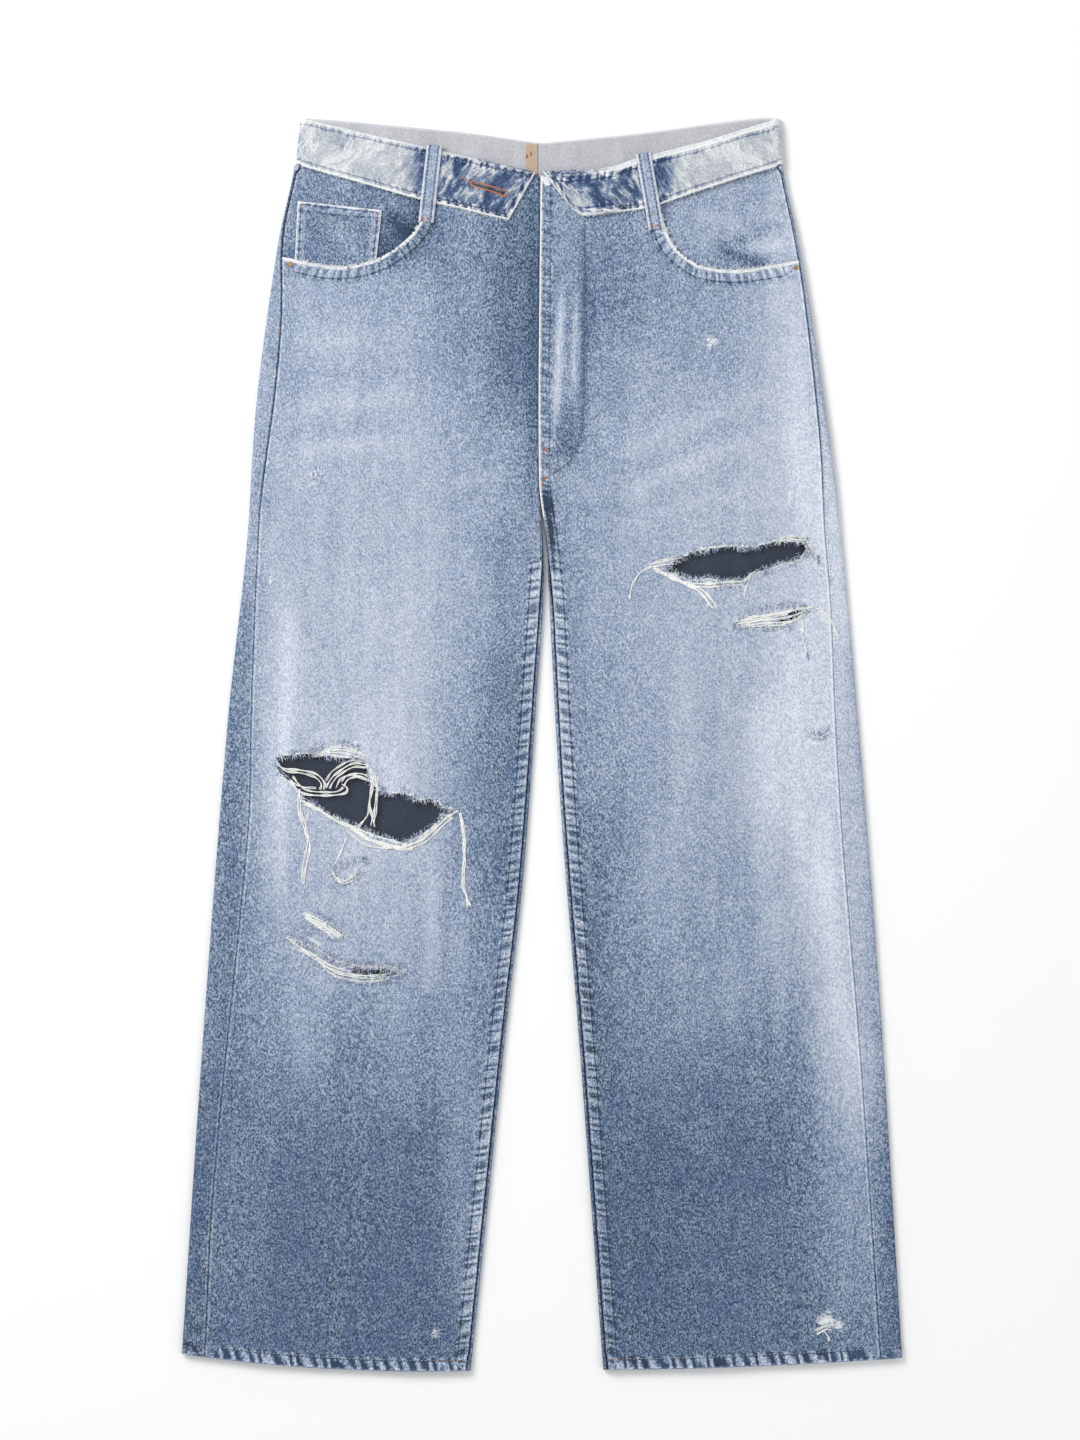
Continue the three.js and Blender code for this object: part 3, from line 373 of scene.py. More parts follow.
def rounded_rim(gap, width):
    """How thick a rolled edge is at a distance from the rim: from 0 at the rim to 1 past its width."""
    return np.sqrt(np.clip(1 - (1 - np.clip(gap / width, 0, 1)) ** 2, 0, 1))


def smooth_line(points):
    """A smooth line through (key, value) points with rising keys, read as the value at a key."""
    keys, values = np.array(points, float).T
    slopes = np.empty_like(values)
    slopes[1:-1] = (values[2:] - values[:-2]) / (keys[2:] - keys[:-2])
    slopes[0] = (values[1] - values[0]) / (keys[1] - keys[0])
    slopes[-1] = (values[-1] - values[-2]) / (keys[-1] - keys[-2])

    def read(key):
        key = np.asarray(key, float)
        i = np.clip(np.searchsorted(keys, key, side="right") - 1, 0, len(keys) - 2)
        h = keys[i + 1] - keys[i]
        t = np.clip((key - keys[i]) / h, 0, 1)
        bend = t * (1 - t) * h * ((1 - t) * slopes[i] - t * slopes[i + 1])
        return lerp(values[i], values[i + 1], t * t * (3 - 2 * t)) + bend

    return read


def along_line(points, fractions):
    """Points at fractions of a polyline's length."""
    points = np.array(points, float)
    reach = np.concatenate([[0], np.cumsum(np.linalg.norm(np.diff(points, axis=0), axis=1))])
    at = np.asarray(fractions, float) * reach[-1]
    return np.stack([np.interp(at, reach, points[:, k]) for k in range(points.shape[1])], axis=-1)


def rounded_line(points, count):
    """A smooth curve through the points, at even steps."""
    points = np.array(points, float)
    padded = np.vstack([2 * points[0] - points[1], points, 2 * points[-1] - points[-2]])
    pieces = []
    for i in range(1, len(padded) - 2):
        t = np.linspace(0, 1, 12, endpoint=False)[:, None]
        a, b, c, d = padded[i - 1:i + 3]
        square, cube = 2 * a - 5 * b + 4 * c - d, 3 * b - a - 3 * c + d
        pieces.append(0.5 * (2 * b + (c - a) * t + square * t ** 2 + cube * t ** 3))
    pieces.append(points[-1:])
    return along_line(np.vstack(pieces), np.linspace(0, 1, count))


def soft_noise(x, y, size, seed):
    """Smooth noise from -1 to 1 with bumps of about the given size."""
    table = np.random.default_rng(seed).uniform(-1, 1, (128, 128))
    u, v = np.asarray(x, float) / size + 1000.5, np.asarray(y, float) / size + 1000.5
    i, j = np.floor(u).astype(int), np.floor(v).astype(int)
    s, t = u - i, v - j
    s, t = s * s * (3 - 2 * s), t * t * (3 - 2 * t)
    i, j, i1, j1 = i % 128, j % 128, (i + 1) % 128, (j + 1) % 128
    return lerp(lerp(table[i, j], table[i1, j], s), lerp(table[i, j1], table[i1, j1], s), t)


def segment_distance(x, y, start, end):
    """The distance from points to a segment, and how far along it they are, from 0 to 1."""
    dx, dy = end[0] - start[0], end[1] - start[1]
    t = ((x - start[0]) * dx + (y - start[1]) * dy) / (dx * dx + dy * dy)
    c = np.clip(t, 0, 1)
    return np.hypot(x - start[0] - c * dx, y - start[1] - c * dy), t


def outline_distance(x, y, outline):
    """The distance from points to a closed outline, below zero inside it, with the nearest point."""
    best = np.full(np.shape(x), 1e9)
    near = np.zeros(np.shape(x) + (2,))
    inside = np.zeros(np.shape(x), bool)
    for start, end in zip(outline, outline[1:] + outline[:1]):
        away, t = segment_distance(x, y, start, end)
        c = np.clip(t, 0, 1)
        better = away < best
        best = np.where(better, away, best)
        near[..., 0] = np.where(better, lerp(start[0], end[0], c), near[..., 0])
        near[..., 1] = np.where(better, lerp(start[1], end[1], c), near[..., 1])
        if start[1] != end[1]:
            cross = start[0] + (y - start[1]) / (end[1] - start[1]) * (end[0] - start[0])
            inside ^= ((start[1] > y) != (end[1] > y)) & (x < cross)
    return np.where(inside, -best, best), near


def line_distance(x, y, points):
    """The distance from points to an open line, and the length along it of the nearest point."""
    best, run, length = np.full(np.shape(x), 1e9), np.zeros(np.shape(x)), 0.0
    for start, end in zip(points[:-1], points[1:]):
        away, t = segment_distance(x, y, start, end)
        step = math.hypot(end[0] - start[0], end[1] - start[1])
        better = away < best
        best = np.where(better, away, best)
        run = np.where(better, length + np.clip(t, 0, 1) * step, run)
        length += step
    return best, run


def spot(x, y, cx, cy, half_width, half_height, lean, power=2.0, end_power=2.0):
    """A soft patch that is 1 at its middle and fades past its half sizes."""
    a = math.radians(lean)
    u = ((x - cx) * math.cos(a) + (y - cy) * math.sin(a)) / half_width
    v = (-(x - cx) * math.sin(a) + (y - cy) * math.cos(a)) / half_height
    return np.exp(-np.abs(u) ** power - np.abs(v) ** end_power)


# ------------------------------------------------------------
# The lay of the cloth

def back_height(y):
    return DENIM / 2 + BACK_LIFT * smoothstep(y, *LIFT_RANGE)


def front_height(y):
    return back_height(y) + DENIM + lerp(LEG_GAP, HIP_GAP, smoothstep(y, *HIP_RANGE))


FRONT_TOP = float(front_height(WAIST_CENTRE))
BAND_LOW = BACK_LIFT + BAND / 2
BAND_HIGH = FRONT_TOP + DENIM / 2 + SEAM_GAP + BAND / 2
BAND_RADIUS = (BAND_HIGH - BAND_LOW) / 2
BAND_MIDDLE = (BAND_HIGH + BAND_LOW) / 2


def fold_height(x, y):
    """How far the main folds raise the front."""
    height = np.zeros(np.shape(x))
    for start, end, half_width, rise in FOLDS:
        dx, dy = end[0] - start[0], end[1] - start[1]
        length = math.hypot(dx, dy)
        t = ((x - start[0]) * dx + (y - start[1]) * dy) / length ** 2
        away = np.abs((x - start[0]) * dy - (y - start[1]) * dx) / length
        ends = smoothstep(t, -0.1, 0.25) * falloff(t, 0.75, 1.1)
        height += rise * ends * bell(away, half_width)
    return height


class Leg:
    """One leg with its half of the hips: a flattened tube, ruled between its outer and inner edges."""

    def __init__(self, side):
        self.side, self.sign = side, SIGN[side]
        self.outline = smooth_line(OUTLINE[side])
        self.inner_edge = smooth_line(INNER_EDGE[side])
        self.seam_offset = smooth_line(SEAM_OFFSET[side])
        self.length = WAIST_SIDE - HEM_SIDE[side]
        self.hem_row = 1 - HEM_DEPTH / self.length

    def row_at_side(self, y):
        return (WAIST_SIDE - y) / self.length

    def row_at_centre(self, y):
        return (WAIST_CENTRE - y) / (WAIST_CENTRE - HEM_INNER[self.side])

    def section(self, row):
        """The cut across the tube at a row, counted from 0 at the waist to 1 at the hem."""
        row = np.asarray(row, float)
        y_out = lerp(WAIST_SIDE, HEM_SIDE[self.side], row)
        y_in = lerp(WAIST_CENTRE, HEM_INNER[self.side], row)
        start = np.stack([self.outline(y_out), y_out], -1)
        end = np.stack([self.inner_edge(y_in), y_in], -1)
        width = np.linalg.norm(end - start, axis=-1)
        across = (end - start) / width[..., None]
        extra = smoothstep(row, self.hem_row - 0.0006, self.hem_row + 0.0006) * (HEM - DENIM) / 2
        low, high = back_height(y_out) + extra, front_height(y_out) + extra
        radius, half = (high - low) / 2, DENIM / 2 + extra
        closed = falloff(y_in, *CROTCH_RANGE)
        turn = np.maximum(closed * math.pi, LEAST_TURN)
        fold_start = width - SEAM_GAP / 2 - (radius + half) * np.sin(np.minimum(turn, math.pi / 2))
        seam = self.seam_offset(y_out)
        front_end = width - lerp(SEAM_GAP / 2, radius + half + 1, closed)
        return SimpleNamespace(
            row=row, start=start, across=across, width=width, low=low, high=high, radius=radius, half=half,
            extra=extra, closed=closed, turn=turn, fold_start=fold_start, seam=seam, front_end=front_end)

    def place(self, s, distance, z):
        """Points at a distance from the outer edge of a section."""
        f = distance / s.width
        sag = HEM_SAG[self.side] * 4 * f * (1 - f) * s.row ** 6
        x = s.start[..., 0] + s.across[..., 0] * distance
        y = s.start[..., 1] + s.across[..., 1] * distance - sag
        return np.stack(np.broadcast_arrays(x, y, z), -1)

    def on_front(self, s, distance, depth):
        """Points on the upper layer, which turns down at the outer fold and swells into its folds."""
        bend = s.radius + s.half
        angle = np.arccos(np.clip((bend - distance) / s.radius, -1, 1))
        folded = self.on_outer_fold(s, angle, depth)
        rest = np.minimum(distance, s.width - distance) - bend
        flat = self.place(s, distance, 0.0)
        share = smoothstep(rest, 0, 26)
        rise = fold_height(flat[..., 0], flat[..., 1]) * share
        flat[..., 2] = lerp(s.high, front_height(flat[..., 1]) + s.extra, share) + rise + depth
        return np.where((distance < bend)[..., None], folded, flat)

    def on_back(self, s, distance, depth):
        return self.place(s, distance, s.low - depth)

    def on_outer_fold(self, s, angle, depth):
        reach = s.radius + depth
        centre = s.radius + s.half
        return self.place(s, centre - reach * np.cos(angle), s.low + s.radius + reach * np.sin(angle))

    def on_inner_fold(self, s, angle, depth):
        reach = s.radius + depth
        return self.place(s, s.fold_start + reach * np.sin(angle), s.low + s.radius - reach * np.cos(angle))


LEGS = {side: Leg(side) for side in SIDES}


# ------------------------------------------------------------
# Wear and wash, with a painted shadow beside the fly

def wash_tone(x, y):
    """How faded the cloth is at a place, from dark to pale, with a painted shadow beside the fly."""
    tone = smooth_line(GROUND_TONE)(y)
    for cx, cy, half_width, half_length, lean, added in WASH_ZONES:
        tone = tone + added * spot(x, y, cx, cy, half_width, half_length, lean, 2.4, 5.0)
    for start, end, half_width, added in WHISKERS:
        away, t = segment_distance(x, y, start, end)
        ends = smoothstep(t, -0.05, 0.3) * falloff(t, 0.7, 1.05)
        tone = tone + added * ends * bell(away, half_width)
    return tone


def worn_through(x, y):
    """Where the blue is gone: small worn spots and the edges of the rips."""
    worn = np.zeros(np.shape(x))
    for cx, cy, half_width, half_height, lean, strength in WORN_SPOTS:
        worn = np.maximum(worn, strength * spot(x, y, cx, cy, half_width, half_height, lean, 2.4, 2.4))
    for outline in RIPS["left"] + RIPS["right"]:
        xs, ys = zip(*outline)
        near = (np.abs(x - sum(xs) / len(xs)) < 110) & (np.abs(y - sum(ys) / len(ys)) < 70)
        if near.any():
            away = np.full(np.shape(x), 1e9)
            away[near], _ = outline_distance(x[near], y[near], outline)
            reach = 2.6 + 1.6 * soft_noise(x, y, 7, 71)
            worn = np.maximum(worn, 0.8 * bell(np.maximum(away, 0), reach))
    return worn


# ------------------------------------------------------------
# Mesh building

# The value of the "line" attribute on a pressed-in line, along which the denim gets a thin painted shade;
# elsewhere it is that far off in millimetres
LINE_MARK = 100.0
SHARP_ANGLE = math.radians(50)


def new_object(name, vertices, faces, materials):
    """A smooth mesh object from points in millimetres, riding on the garment."""
    mesh = bpy.data.meshes.new(name)
    mesh.from_pydata((np.asarray(vertices) * MM).tolist(), [], faces)
    for finish in materials:
        mesh.materials.append(material(finish))
    mesh.polygons.foreach_set("use_smooth", np.ones(len(mesh.polygons), dtype=bool))
    mesh.update()
    made = bpy.data.objects.new(name, mesh)
    bpy.context.scene.collection.objects.link(made)
    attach(made, BODY)
    return made


def wall(name, outer, inner, materials, attributes, keep=None):
    """A closed wall between two equal grids of points, faced outside and at its edges, then inside."""
    rows, columns = outer.shape[:2]
    count = rows * columns
    index = np.arange(count).reshape(rows, columns)
    quads = np.stack([index[:-1, :-1], index[1:, :-1], index[1:, 1:], index[:-1, 1:]], -1).reshape(-1, 4)
    points = outer.reshape(-1, 3)
    a, b, c = (points[quads[:, k]] for k in range(3))
    facing = (np.cross(b - a, c - a) * (a - inner.reshape(-1, 3)[quads[:, 0]])).sum()
    if facing < 0:
        quads = quads[:, ::-1]
    if keep is not None:
        quads = quads[keep.reshape(-1)]
    starts, ends = quads.reshape(-1), np.roll(quads, -1, axis=1).reshape(-1)
    forward, backward = starts * count + ends, ends * count + starts
    rim = ~np.isin(forward, backward)
    s, e = starts[rim], ends[rim]
    faces = np.vstack([quads, quads[:, ::-1] + count, np.stack([e, s, s + count, e + count], -1)])
    slots = np.concatenate([np.zeros(len(quads)), np.ones(len(quads)), np.zeros(len(s))]).astype(int)
    used = np.unique(faces)
    renumber = np.full(2 * count, -1)
    renumber[used] = np.arange(len(used))
    vertices = np.vstack([points, inner.reshape(-1, 3)])[used]
    if len(materials) == 1:
        slots[:] = 0
    made = new_object(name, vertices, renumber[faces].tolist(), materials)
    mesh = made.data
    mesh.polygons.foreach_set("material_index", slots.astype(np.int32))
    for key, values in attributes.items():
        both = np.concatenate([np.broadcast_to(values, (rows, columns)).reshape(-1)] * 2)[used]
        mesh.attributes.new(key, "FLOAT", "POINT").data.foreach_set("value", both.astype(np.float32))
    mesh.validate()
    mesh.set_sharp_from_angle(angle=SHARP_ANGLE)
    mesh.update()
    return made


def tubes(name, lines, radius, finish, sides=5):
    """Many thin threads as one mesh: each line is an array of points, and the radius narrows at its ends."""
    vertices, faces, base = [], [], 0
    ring = np.linspace(0, 2 * math.pi, sides, endpoint=False)
    for n, line in enumerate(lines):
        line = np.asarray(line, float)
        thick = radius[n] if hasattr(radius, "__len__") else radius
        ahead = np.gradient(line, axis=0)
        ahead /= np.maximum(np.linalg.norm(ahead, axis=1, keepdims=True), 1e-9)
        side = np.cross(ahead, (0.12, 0.3, 1.0))
        side /= np.maximum(np.linalg.norm(side, axis=1, keepdims=True), 1e-9)
        up = np.cross(side, ahead)
        taper = np.full(len(line), 1.0)
        taper[0] = taper[-1] = 0.45
        circle = side[:, None] * np.cos(ring)[None, :, None] + up[:, None] * np.sin(ring)[None, :, None]
        vertices.append((line[:, None] + circle * (thick * taper)[:, None, None]).reshape(-1, 3))
        i = np.arange(len(line) - 1)[:, None] * sides + np.arange(sides)[None]
        j = np.arange(len(line) - 1)[:, None] * sides + (np.arange(sides)[None] + 1) % sides
        faces += (np.stack([i, j, j + sides, i + sides], -1).reshape(-1, 4) + base).tolist()
        faces.append((base + np.arange(sides)[::-1]).tolist())
        faces.append((base + (len(line) - 1) * sides + np.arange(sides)).tolist())
        base += len(line) * sides
    return new_object(name, np.vstack(vertices), faces, [finish])


def declare(made, node, slot, **sheet):
    """Hides the solid that a cloth piece stands for; the piece, its colour slot and its flat cut are not
    used.
    """
    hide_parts(node)


class Ground:
    """What lies on top: finds the height of the finished cloth under a point."""

    def __init__(self, *names):
        self.trees = []
        for name in names:
            mesh = bpy.data.objects[name].data
            points = np.empty(len(mesh.vertices) * 3, dtype=np.float32)
            mesh.vertices.foreach_get("co", points)
            polygons = [p.vertices[:] for p in mesh.polygons]
            self.trees.append(BVHTree.FromPolygons(points.reshape(-1, 3).tolist(), polygons))

    def height(self, x, y):
        best = None
        for tree in self.trees:
            hit = tree.ray_cast(Vector((x * MM, y * MM, 0.1)), Vector((0, 0, -1)))
            if hit[0] is not None:
                best = max(best, hit[0].z) if best is not None else hit[0].z
        return None if best is None else best / MM

    def lay(self, line, rise):
        """Lays a line of (x, y) points on the cloth; points off the cloth are left out."""
        heights = [self.height(x, y) for x, y in line]
        return np.array([(x, y, h + rise) for (x, y), h in zip(line, heights) if h is not None])


# ------------------------------------------------------------
# Shader node groups

class Nodes:
    """A short way to add and join nodes in one tree; sums, products and textures give their output socket."""

    def __init__(self, tree):
        self.tree = tree

    def add(self, kind, settings=None, **inputs):
        made = self.tree.nodes.new(kind)
        for key, value in (settings or {}).items():
            setattr(made, key, value)
        for key, value in inputs.items():
            self.set(made, key.replace("_", " "), value)
        return made

    def set(self, made, key, value):
        socket = made.inputs[int(key)] if key.isdigit() else made.inputs[key]
        if isinstance(value, bpy.types.NodeSocket):
            self.tree.links.new(value, socket)
        else:
            socket.default_value = value

    def maths(self, operation, a, b=0.0):
        made = self.add("ShaderNodeMath", {"operation": operation})
        self.set(made, "0", a)
        self.set(made, "1", b)
        return made.outputs[0]

    def times(self, a, b):
        return self.maths("MULTIPLY", a, b)

    def minus(self, a, b):
        return self.maths("SUBTRACT", a, b)

    def plus(self, total, *others):
        for other in others:
            total = self.maths("ADD", total, other)
        return total

    def apart(self, a, b):
        return self.maths("ABSOLUTE", self.minus(a, b))

    def swing(self, value, amount):
        """A value from 0 to 1 turned into one that swings about 0."""
        return self.times(self.minus(value, 0.5), amount)

    def between(self, value, low, high, to_low=0.0, to_high=1.0):
        made = self.add("ShaderNodeMapRange", {"interpolation_type": "SMOOTHSTEP"}, Value=value)
        self.set(made, "From Min", low)
        self.set(made, "From Max", high)
        self.set(made, "To Min", to_low)
        self.set(made, "To Max", to_high)
        return made.outputs["Result"]

    def noise(self, vector, scale, detail=2.0, roughness=0.5):
        made = self.add("ShaderNodeTexNoise", Vector=vector, Scale=scale, Detail=detail, Roughness=roughness)
        return made.outputs["Fac"]

    def stretched(self, vector, scale, turn=0.0):
        if turn:
            vector = self.add("ShaderNodeMapping", Vector=vector, Rotation=(0, 0, turn)).outputs["Vector"]
        return self.add("ShaderNodeMapping", Vector=vector, Scale=scale).outputs["Vector"]

    def mix(self, factor, a, b):
        made = self.add("ShaderNodeMix", {"data_type": "RGBA"})
        for slot, value in (("0", factor), ("6", a), ("7", b)):
            self.set(made, slot, value)
        return made.outputs[2]

    def attribute(self, name):
        return self.add("ShaderNodeAttribute", {"attribute_name": name}).outputs["Fac"]

    def place(self):
        return self.add("ShaderNodeTexCoord").outputs["Object"]

    def group(self, name, **inputs):
        made = self.add("ShaderNodeGroup", {"node_tree": bpy.data.node_groups[name]}, **inputs)
        return made.outputs

    def seam_wear_and_shade(self):
        wear = {key.title(): self.attribute(key) for key in ("edge", "band", "run", "draw")}
        return self.group("Seam wear and shade", **wear)

    def bump(self, shader, strength, distance, height):
        made = self.add("ShaderNodeBump", Strength=strength, Distance=distance, Height=height)
        self.set(shader, "Normal", made.outputs["Normal"])

    def ramp(self, tone, stops):
        made = self.add("ShaderNodeValToRGB", Fac=tone)
        elements = made.color_ramp.elements
        while len(elements) < len(stops):
            elements.new(0.5)
        for element, (position, colour) in zip(elements, stops):
            element.position = position
            element.color = colour
        return made.outputs["Color"]


def new_group(name, inputs, outputs):
    """An empty node group with its named sockets; gives it, its nodes, its inputs and its output node."""
    group = bpy.data.node_groups.new(name, "ShaderNodeTree")
    for label, kind, default in inputs:
        socket = group.interface.new_socket(label, in_out="INPUT", socket_type=kind)
        if default is not None:
            socket.default_value = default
    for label, kind in outputs:
        group.interface.new_socket(label, in_out="OUTPUT", socket_type=kind)
    nodes = Nodes(group)
    return group, nodes, nodes.add("NodeGroupInput").outputs, nodes.add("NodeGroupOutput")


def weave_group():
    """The grain of the cloth: uneven yarns with a speckle where white weft shows, over a faint twill."""
    group, n, given, out = new_group(
        "Denim weave", [("Vector", "NodeSocketVector", None), ("Rib", "NodeSocketFloat", 0.012)],
        [("Grain", "NodeSocketFloat"), ("Height", "NodeSocketFloat")])
    place = given["Vector"]
    ribs = n.add("ShaderNodeTexWave", {"wave_type": "BANDS", "bands_direction": "DIAGONAL"},
                 Vector=n.stretched(place, (1.0, 0.62, 0.0)), Scale=130.0, Distortion=1.6, Detail=2.0)
    yarns = n.noise(n.stretched(place, (860, 440, 300)), 1.0, 2.0, 0.6)
    speck = n.noise(n.stretched(place, (760, 560, 500)), 1.0, 2.0, 0.65)
    fine = n.noise(place, 1250.0, 1.0, 0.5)
    coarse = n.noise(place, 210.0, 2.0, 0.6)
    total = n.plus(n.times(yarns, 0.34), n.times(speck, 0.36), n.times(fine, 0.2), n.times(coarse, 0.1),
                   n.swing(ribs.outputs["Fac"], given["Rib"]))
    n.set(out, "Grain", n.between(total, 0.37, 0.63))
    n.set(out, "Height", total)
    return group


def mottle_group():
    """Uneven washing: soft clouds and long streaks down the cloth."""
    group, n, given, out = new_group(
        "Uneven wash", [("Vector", "NodeSocketVector", None)], [("Cloud", "NodeSocketFloat")])
    clouds = n.noise(given["Vector"], 26.0, 4.0, 0.62)
    blots = n.noise(n.stretched(given["Vector"], (1.0, 0.6, 1.0)), 120.0, 3.0, 0.6)
    streaks = n.noise(n.stretched(given["Vector"], (75, 7, 40)), 1.0, 3.0, 0.6)
    total = n.plus(n.times(clouds, 0.35), n.times(blots, 0.25), n.times(streaks, 0.4))
    n.set(out, "Cloud", n.between(total, 0.33, 0.67))
    return group


def seam_group():
    """Wear and painted shade beside a sewn edge: a pale worn lip, a dark stitched groove of painted shade,
    and puckers that the thread draws in, partly faded and partly painted shade and light.
    """
    group, n, given, out = new_group(
        "Seam wear and shade",
        [("Edge", "NodeSocketFloat", 30.0), ("Band", "NodeSocketFloat", 0.0), ("Run", "NodeSocketFloat", 0.0),
         ("Draw", "NodeSocketFloat", 0.0)],
        [("Pale", "NodeSocketFloat"), ("Dark", "NodeSocketFloat")])
    edge, band, run, draw = (given[key] for key in ("Edge", "Band", "Run", "Draw"))
    wobble = n.add("ShaderNodeTexNoise", {"noise_dimensions": "1D"}, W=run, Scale=0.55, Detail=2.0)
    slant = n.plus(run, n.times(edge, 0.035), n.times(wobble.outputs["Fac"], 2.2))
    wave = n.maths("SINE", n.times(slant, 2 * math.pi))
    zone = n.times(n.between(edge, 0.2, 1.6),
                   n.between(n.minus(edge, band), 0.2, 4.0, 1.0, 0.0))
    zone = n.times(zone, draw)
    # Puckers: pale ridges and dark hollows, partly faded cloth and partly painted light and shade
    pale = n.times(n.between(wave, 0.0, 0.8), zone)
    dark = n.times(n.between(wave, -0.1, -0.85), zone)
    lip = n.between(n.apart(edge, 1.3), 0.3, 1.1, 1.0, 0.0)
    # Painted shade: a dark line in the stitched groove
    groove = n.between(n.apart(edge, band), 0.25, 1.0, 1.0, 0.0)
    n.set(out, "Pale", n.plus(n.times(pale, 0.8), n.times(lip, 0.7)))
    n.set(out, "Dark", n.plus(dark, groove))
    return group


def crumple_group():
    """Hard creases pressed in by washing: slanting pale streaks over darker hollows, partly faded cloth and
    partly painted highlight and shade.
    """
    group, n, given, out = new_group(
        "Crumpled cloth", [("Vector", "NodeSocketVector", None), ("Size", "NodeSocketFloat", 60.0)],
        [("Streaks", "NodeSocketFloat"), ("Patches", "NodeSocketFloat")])
    mirrored = n.add("ShaderNodeVectorMath", {"operation": "ABSOLUTE"})
    n.tree.links.new(given["Vector"], mirrored.inputs[0])
    mirrored = mirrored.outputs["Vector"]
    warp = n.add("ShaderNodeTexNoise", Vector=mirrored, Scale=38.0, Detail=2.0).outputs["Color"]
    bent = n.add("ShaderNodeVectorMath", {"operation": "MULTIPLY_ADD"})
    n.tree.links.new(warp, bent.inputs[0])
    bent.inputs[1].default_value = (0.012, 0.012, 0.0)
    n.tree.links.new(mirrored, bent.inputs[2])
    place = bent.outputs["Vector"]
    long = n.noise(n.stretched(place, (2.6, 0.8, 1.0), -0.85), given["Size"], 2.0, 0.5)
    ridge = n.between(n.apart(long, 0.52), 0.0, 0.13, 1.0, 0.0)
    broad = n.noise(n.stretched(place, (1.5, 0.8, 1.0), -0.6), given["Size"], 3.0, 0.6)
    n.set(out, "Streaks", n.times(ridge, n.between(broad, 0.36, 0.56)))
    n.set(out, "Patches", n.between(broad, 0.38, 0.62))
    return group


# ------------------------------------------------------------
# Finishes

def new_material(name, roughness, sheen=0.0):
    """A new finish; gives its nodes and its shader."""
    made = bpy.data.materials.new(name)
    made.use_nodes = True
    shader = made.node_tree.nodes["Principled BSDF"]
    shader.inputs["Roughness"].default_value = roughness
    shader.inputs["Specular IOR Level"].default_value = 0.2
    shader.inputs["Sheen Weight"].default_value = sheen
    return Nodes(made.node_tree), shader


def srgb(red, green, blue):
    """Turns everyday 0 to 255 colour values into scene-linear ones."""
    values = np.array([red, green, blue]) / 255
    linear = np.where(values <= 0.04045, values / 12.92, ((values + 0.055) / 1.055) ** 2.4)
    return tuple(linear.tolist())


def shade(colour, amount=1.0):
    """A colour made darker or lighter, with its alpha."""
    return (*np.minimum(np.array(colour[:3]) * amount, 1), 1.0)


def colours():
    return bpy.context.scene.jeans_colours


def sizes():
    return bpy.context.scene.jeans_sizes


# The wash tones that the two ends of the colour ramp stand for, and how strong the grain of the cloth is
TONE_LOW, TONE_HIGH = -0.3, 1.2
GRAIN = 1.04


def denim_stops():
    """Colours of the denim by wash tone, as places on a ramp from the lowest tone to the highest."""
    c = colours()
    tones = [(TONE_LOW, shade(c.dark, 0.42)), (0.0, shade(c.dark)), (0.45, shade(c.mid)),
             (0.78, shade(c.pale)), (TONE_HIGH, shade(c.palest))]
    return [((tone - TONE_LOW) / (TONE_HIGH - TONE_LOW), colour) for tone, colour in tones]


def denim_material():
    """Blue denim: its tone follows the wash, the weave, the wear at seams with painted shade in their
    grooves, and painted shade along pressed-in lines; where worn, it is white.
    """
    n, shader = new_material("washed denim", 0.9, 0.05)
    place = n.place()
    weave = n.group("Denim weave", Vector=place)
    cloud = n.group("Uneven wash", Vector=place)["Cloud"]
    seam = n.seam_wear_and_shade()
    # Painted shade: a thin dark line along each pressed-in line
    line = n.between(n.apart(n.attribute("line"), LINE_MARK), 0.3, 1.5, 0.2, 0.0)
    depth = n.between(n.attribute("fade"), 0.25, 0.85, GRAIN, 0.5 * GRAIN)
    grain = n.swing(weave["Grain"], depth)
    blotch = n.swing(cloud, 0.14)
    # wear: worn lips and pale puckers at the seams, less painted shade in their grooves and hollows and along
    # pressed-in lines
    wear = n.minus(n.times(seam["Pale"], 0.34),
                   n.plus(n.times(seam["Dark"], 0.46), line))
    tone = n.plus(n.attribute("fade"), grain, blotch, wear)
    flat = n.add("ShaderNodeMapRange", Value=tone)
    n.set(flat, "From Min", TONE_LOW)
    n.set(flat, "From Max", TONE_HIGH)
    colour = n.ramp(flat.outputs["Result"], denim_stops())
    tint = n.times(n.between(cloud, 0.7, 0.2), n.between(tone, 0.75, 0.2, 0.0, 0.22))
    colour = n.mix(tint, colour, shade(colours().tint))
    threads = n.noise(n.stretched(place, (240, 760, 200)), 1.0, 3.0, 0.7)
    bare = n.plus(n.attribute("worn"), n.swing(threads, 0.9))
    bare = n.between(bare, 0.42, 0.68, 0.0, 0.95)
    n.set(shader, "Base Color", n.mix(bare, colour, shade(colours().bare)))
    n.bump(shader, 0.45, 0.0008, weave["Height"])
    n.set(shader, "Roughness", n.between(weave["Grain"], 0.0, 1.0, 0.96, 0.84))


def inside_material(name, colour):
    """The inside of the cloth, in the shade of the leg or bleached at the waist."""
    n, shader = new_material(name, 0.95)
    place = n.place()
    weave = n.group("Denim weave", Vector=place)
    cloud = n.group("Uneven wash", Vector=place)["Cloud"]
    mixed = n.plus(n.times(weave["Grain"], 0.6), n.times(cloud, 0.4))
    n.set(shader, "Base Color", n.mix(mixed, shade(colour, 0.75), shade(colour, 1.25)))
    n.bump(shader, 0.4, 0.0006, weave["Height"])


